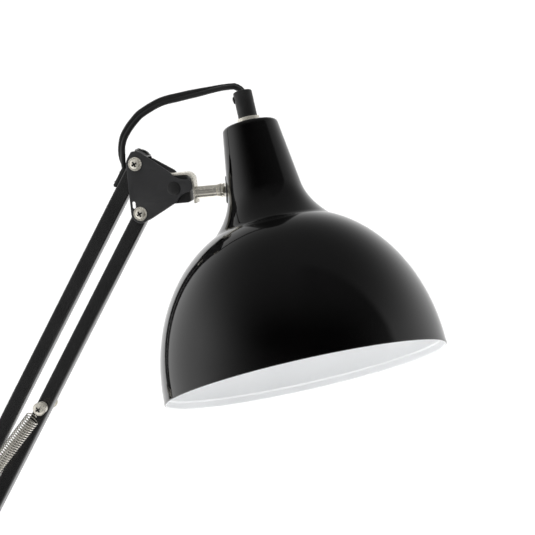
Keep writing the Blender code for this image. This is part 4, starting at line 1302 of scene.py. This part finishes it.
def make_base():
    outer = [(0.0093, COVER_TOP), (0.0160, COVER_TOP - 0.0001), (0.0280, 0.0216)]
    outer += [(0.0400, 0.0205), (0.0550, 0.0191), (0.0700, 0.0175), (0.0800, 0.0162)]
    outer += [(0.0880, 0.0147), (0.0935, 0.0131), (0.0968, 0.0112), (0.0987, 0.0090)]
    outer += [(0.0997, 0.0064), (BASE_RADIUS, 0.0040), (BASE_RADIUS, GROUND)]
    inner = offset_profile(outer, SHEET)
    inner[0] = (outer[0][0], COVER_TOP - SHEET)
    inner[-1] = (BASE_RADIUS - SHEET, GROUND)
    bm = bmesh.new()
    revolve(bm, [*outer, *reversed(inner)], None, 160, closed=True)
    add_piece("base_cover", bm, [COAT], 28, "base")
    gland = bmesh.new()
    place = shift(0, 0, middle("lead_gland").z) @ turn(-90, "Y")
    profile = [(0, 0.128), (0.0030, 0.128), (0.0032, 0.1275)]
    for i in range(6):
        back = 0.1262 - 0.0034 * i
        wide = 0.0034 + 0.00014 * i
        groove = wide - 0.0006
        profile += [(wide, back), (wide, back - 0.0020)]
        profile += [(groove, back - 0.0024), (groove, back - 0.0032)]
    profile += [(0.0042, 0.1040), (0.0048, 0.1025), (0.0048, 0.1004), (0.0038, 0.1003)]
    profile += [(0.0038, 0.0970), (0, 0.0970)]
    revolve(gland, profile, place, 40)
    add_piece("lead_gland", gland, [RUBBER], 35, "base")


make_base()

CAD_LOOKS = {
    "base_pad": RUBBER,
    "base_weight": IRON,
    "swivel_bush": PLASTIC,
    "swivel_post": COAT,
    "post_grommet": RUBBER,
    "switch_housing": PLASTIC,
    "switch_rocker": PLASTIC,
    "lead_plug": PLASTIC,
}


def dress_cad():
    """CAD nodes whose own shape stays: a material, and rounded edges."""
    for node, look in CAD_LOOKS.items():
        obj = frame["nodes"][node]
        obj.data.materials.clear()
        obj.data.materials.append(look)
        weld = obj.modifiers.new("weld", "WELD")
        weld.merge_threshold = 0.00001
        edges = obj.modifiers.new("edges", "BEVEL")
        edges.width = 0.0003
        edges.segments = 3
        edges.limit_method = "ANGLE"
        edges.angle_limit = math.radians(40)
        edges.harden_normals = False


dress_cad()

# ---------------------------------------------------------------- floor and light


def make_floor():
    bm = bmesh.new()
    bmesh.ops.create_grid(bm, x_segments=1, y_segments=1, size=40)
    made = material("pale_floor", (0.95, 0.95, 0.95), 0.8)
    floor = to_object("floor", bm, [made])
    floor.visible_glossy = False


def area_light(name, place, target, size, radiance):
    """A soft panel that faces its target; radiance is how bright it looks."""
    data = bpy.data.lights.new(name, "AREA")
    data.shape = "RECTANGLE"
    data.size, data.size_y = size
    data.energy = radiance * math.pi * size[0] * size[1]
    obj = add_object(name, data)
    obj.location = place
    obj.rotation_euler = (Vector(place) - Vector(target)).to_track_quat("Z", "Y").to_euler()
    obj.visible_camera = False
    obj.visible_glossy = False


def make_world():
    """A white sweep round the lamp: bright beside and behind it and on the table, dark in front."""
    world = bpy.data.worlds.new("studio")
    bpy.context.scene.world = world
    world.use_nodes = True
    nodes, links = world.node_tree.nodes, world.node_tree.links
    nodes.clear()

    def along_way(way):
        dot = nodes.new("ShaderNodeVectorMath")
        dot.operation = "DOT_PRODUCT"
        dot.inputs[1].default_value = way
        links.new(place.outputs["Generated"], dot.inputs[0])
        return dot.outputs["Value"]

    def ramp(value, start, end, low, high):
        spread = nodes.new("ShaderNodeMapRange")
        spread.interpolation_type = "SMOOTHSTEP"
        set_levels(spread, From_Min=start, From_Max=end, To_Min=low, To_Max=high)
        links.new(value, spread.inputs["Value"])
        return spread.outputs["Result"]

    def join(operation, first, second):
        node = nodes.new("ShaderNodeMath")
        node.operation = operation
        links.new(first, node.inputs[0])
        links.new(second, node.inputs[1])
        return node.outputs["Value"]

    place = nodes.new("ShaderNodeTexCoord")
    azimuth = math.radians(AZIMUTH)
    away = along_way((-math.sin(azimuth), math.cos(azimuth), 0))
    right = along_way((math.cos(azimuth), math.sin(azimuth), 0))
    up = along_way((0, 0, 1))
    left_side = join("MULTIPLY", ramp(away, -0.80, 0.15, 0.0, 1.15), ramp(right, -0.12, 0.12, 1, 0))
    panel = join("ADD", ramp(away, -0.85, -0.10, 0.0, 0.30), ramp(away, -0.16, -0.02, 0.0, 0.75))
    right_side = join("MULTIPLY", panel, ramp(right, -0.12, 0.12, 0, 1))
    sides = join("MULTIPLY", join("ADD", left_side, right_side), ramp(up, 0.10, 0.95, 1.0, 0.10))
    ceiling = ramp(up, 0.60, 0.95, 0.0, 0.10)
    table = ramp(up, -0.35, -0.75, 0.0, 0.9)
    low_front = ramp(up, 0.18, 0.55, 0.15, 0.0)
    total = join("ADD", join("ADD", sides, ceiling), join("ADD", table, low_front))
    lit = nodes.new("ShaderNodeBackground")
    links.new(total, lit.inputs["Strength"])
    seen = nodes.new("ShaderNodeBackground")
    set_levels(seen, Color=(1, 1, 1, 1), Strength=1.0)
    ray = nodes.new("ShaderNodeLightPath")
    mix = nodes.new("ShaderNodeMixShader")
    links.new(ray.outputs["Is Camera Ray"], mix.inputs[0])
    links.new(lit.outputs[0], mix.inputs[1])
    links.new(seen.outputs[0], mix.inputs[2])
    out = nodes.new("ShaderNodeOutputWorld")
    links.new(mix.outputs[0], out.inputs["Surface"])


def make_light():
    data = bpy.data.lights.new("sky_light", "SUN")
    data.energy = 3.4
    data.angle = math.radians(50)
    sun = add_object("sky_light", data)
    sun.rotation_euler = Vector((-0.35, -0.45, 1.0)).to_track_quat("Z", "Y").to_euler()
    sun.visible_glossy = False
    area_light("left_panel", (-1.9, -1.0, 0.9), HEAD_REAR, (0.9, 1.8), 1.0)
    area_light("right_panel", (1.7, -0.9, 1.5), HEAD_REAR, (1.2, 1.2), 0.8)


make_floor()
make_world()
make_light()
bpy.context.scene.view_settings.view_transform = "Standard"
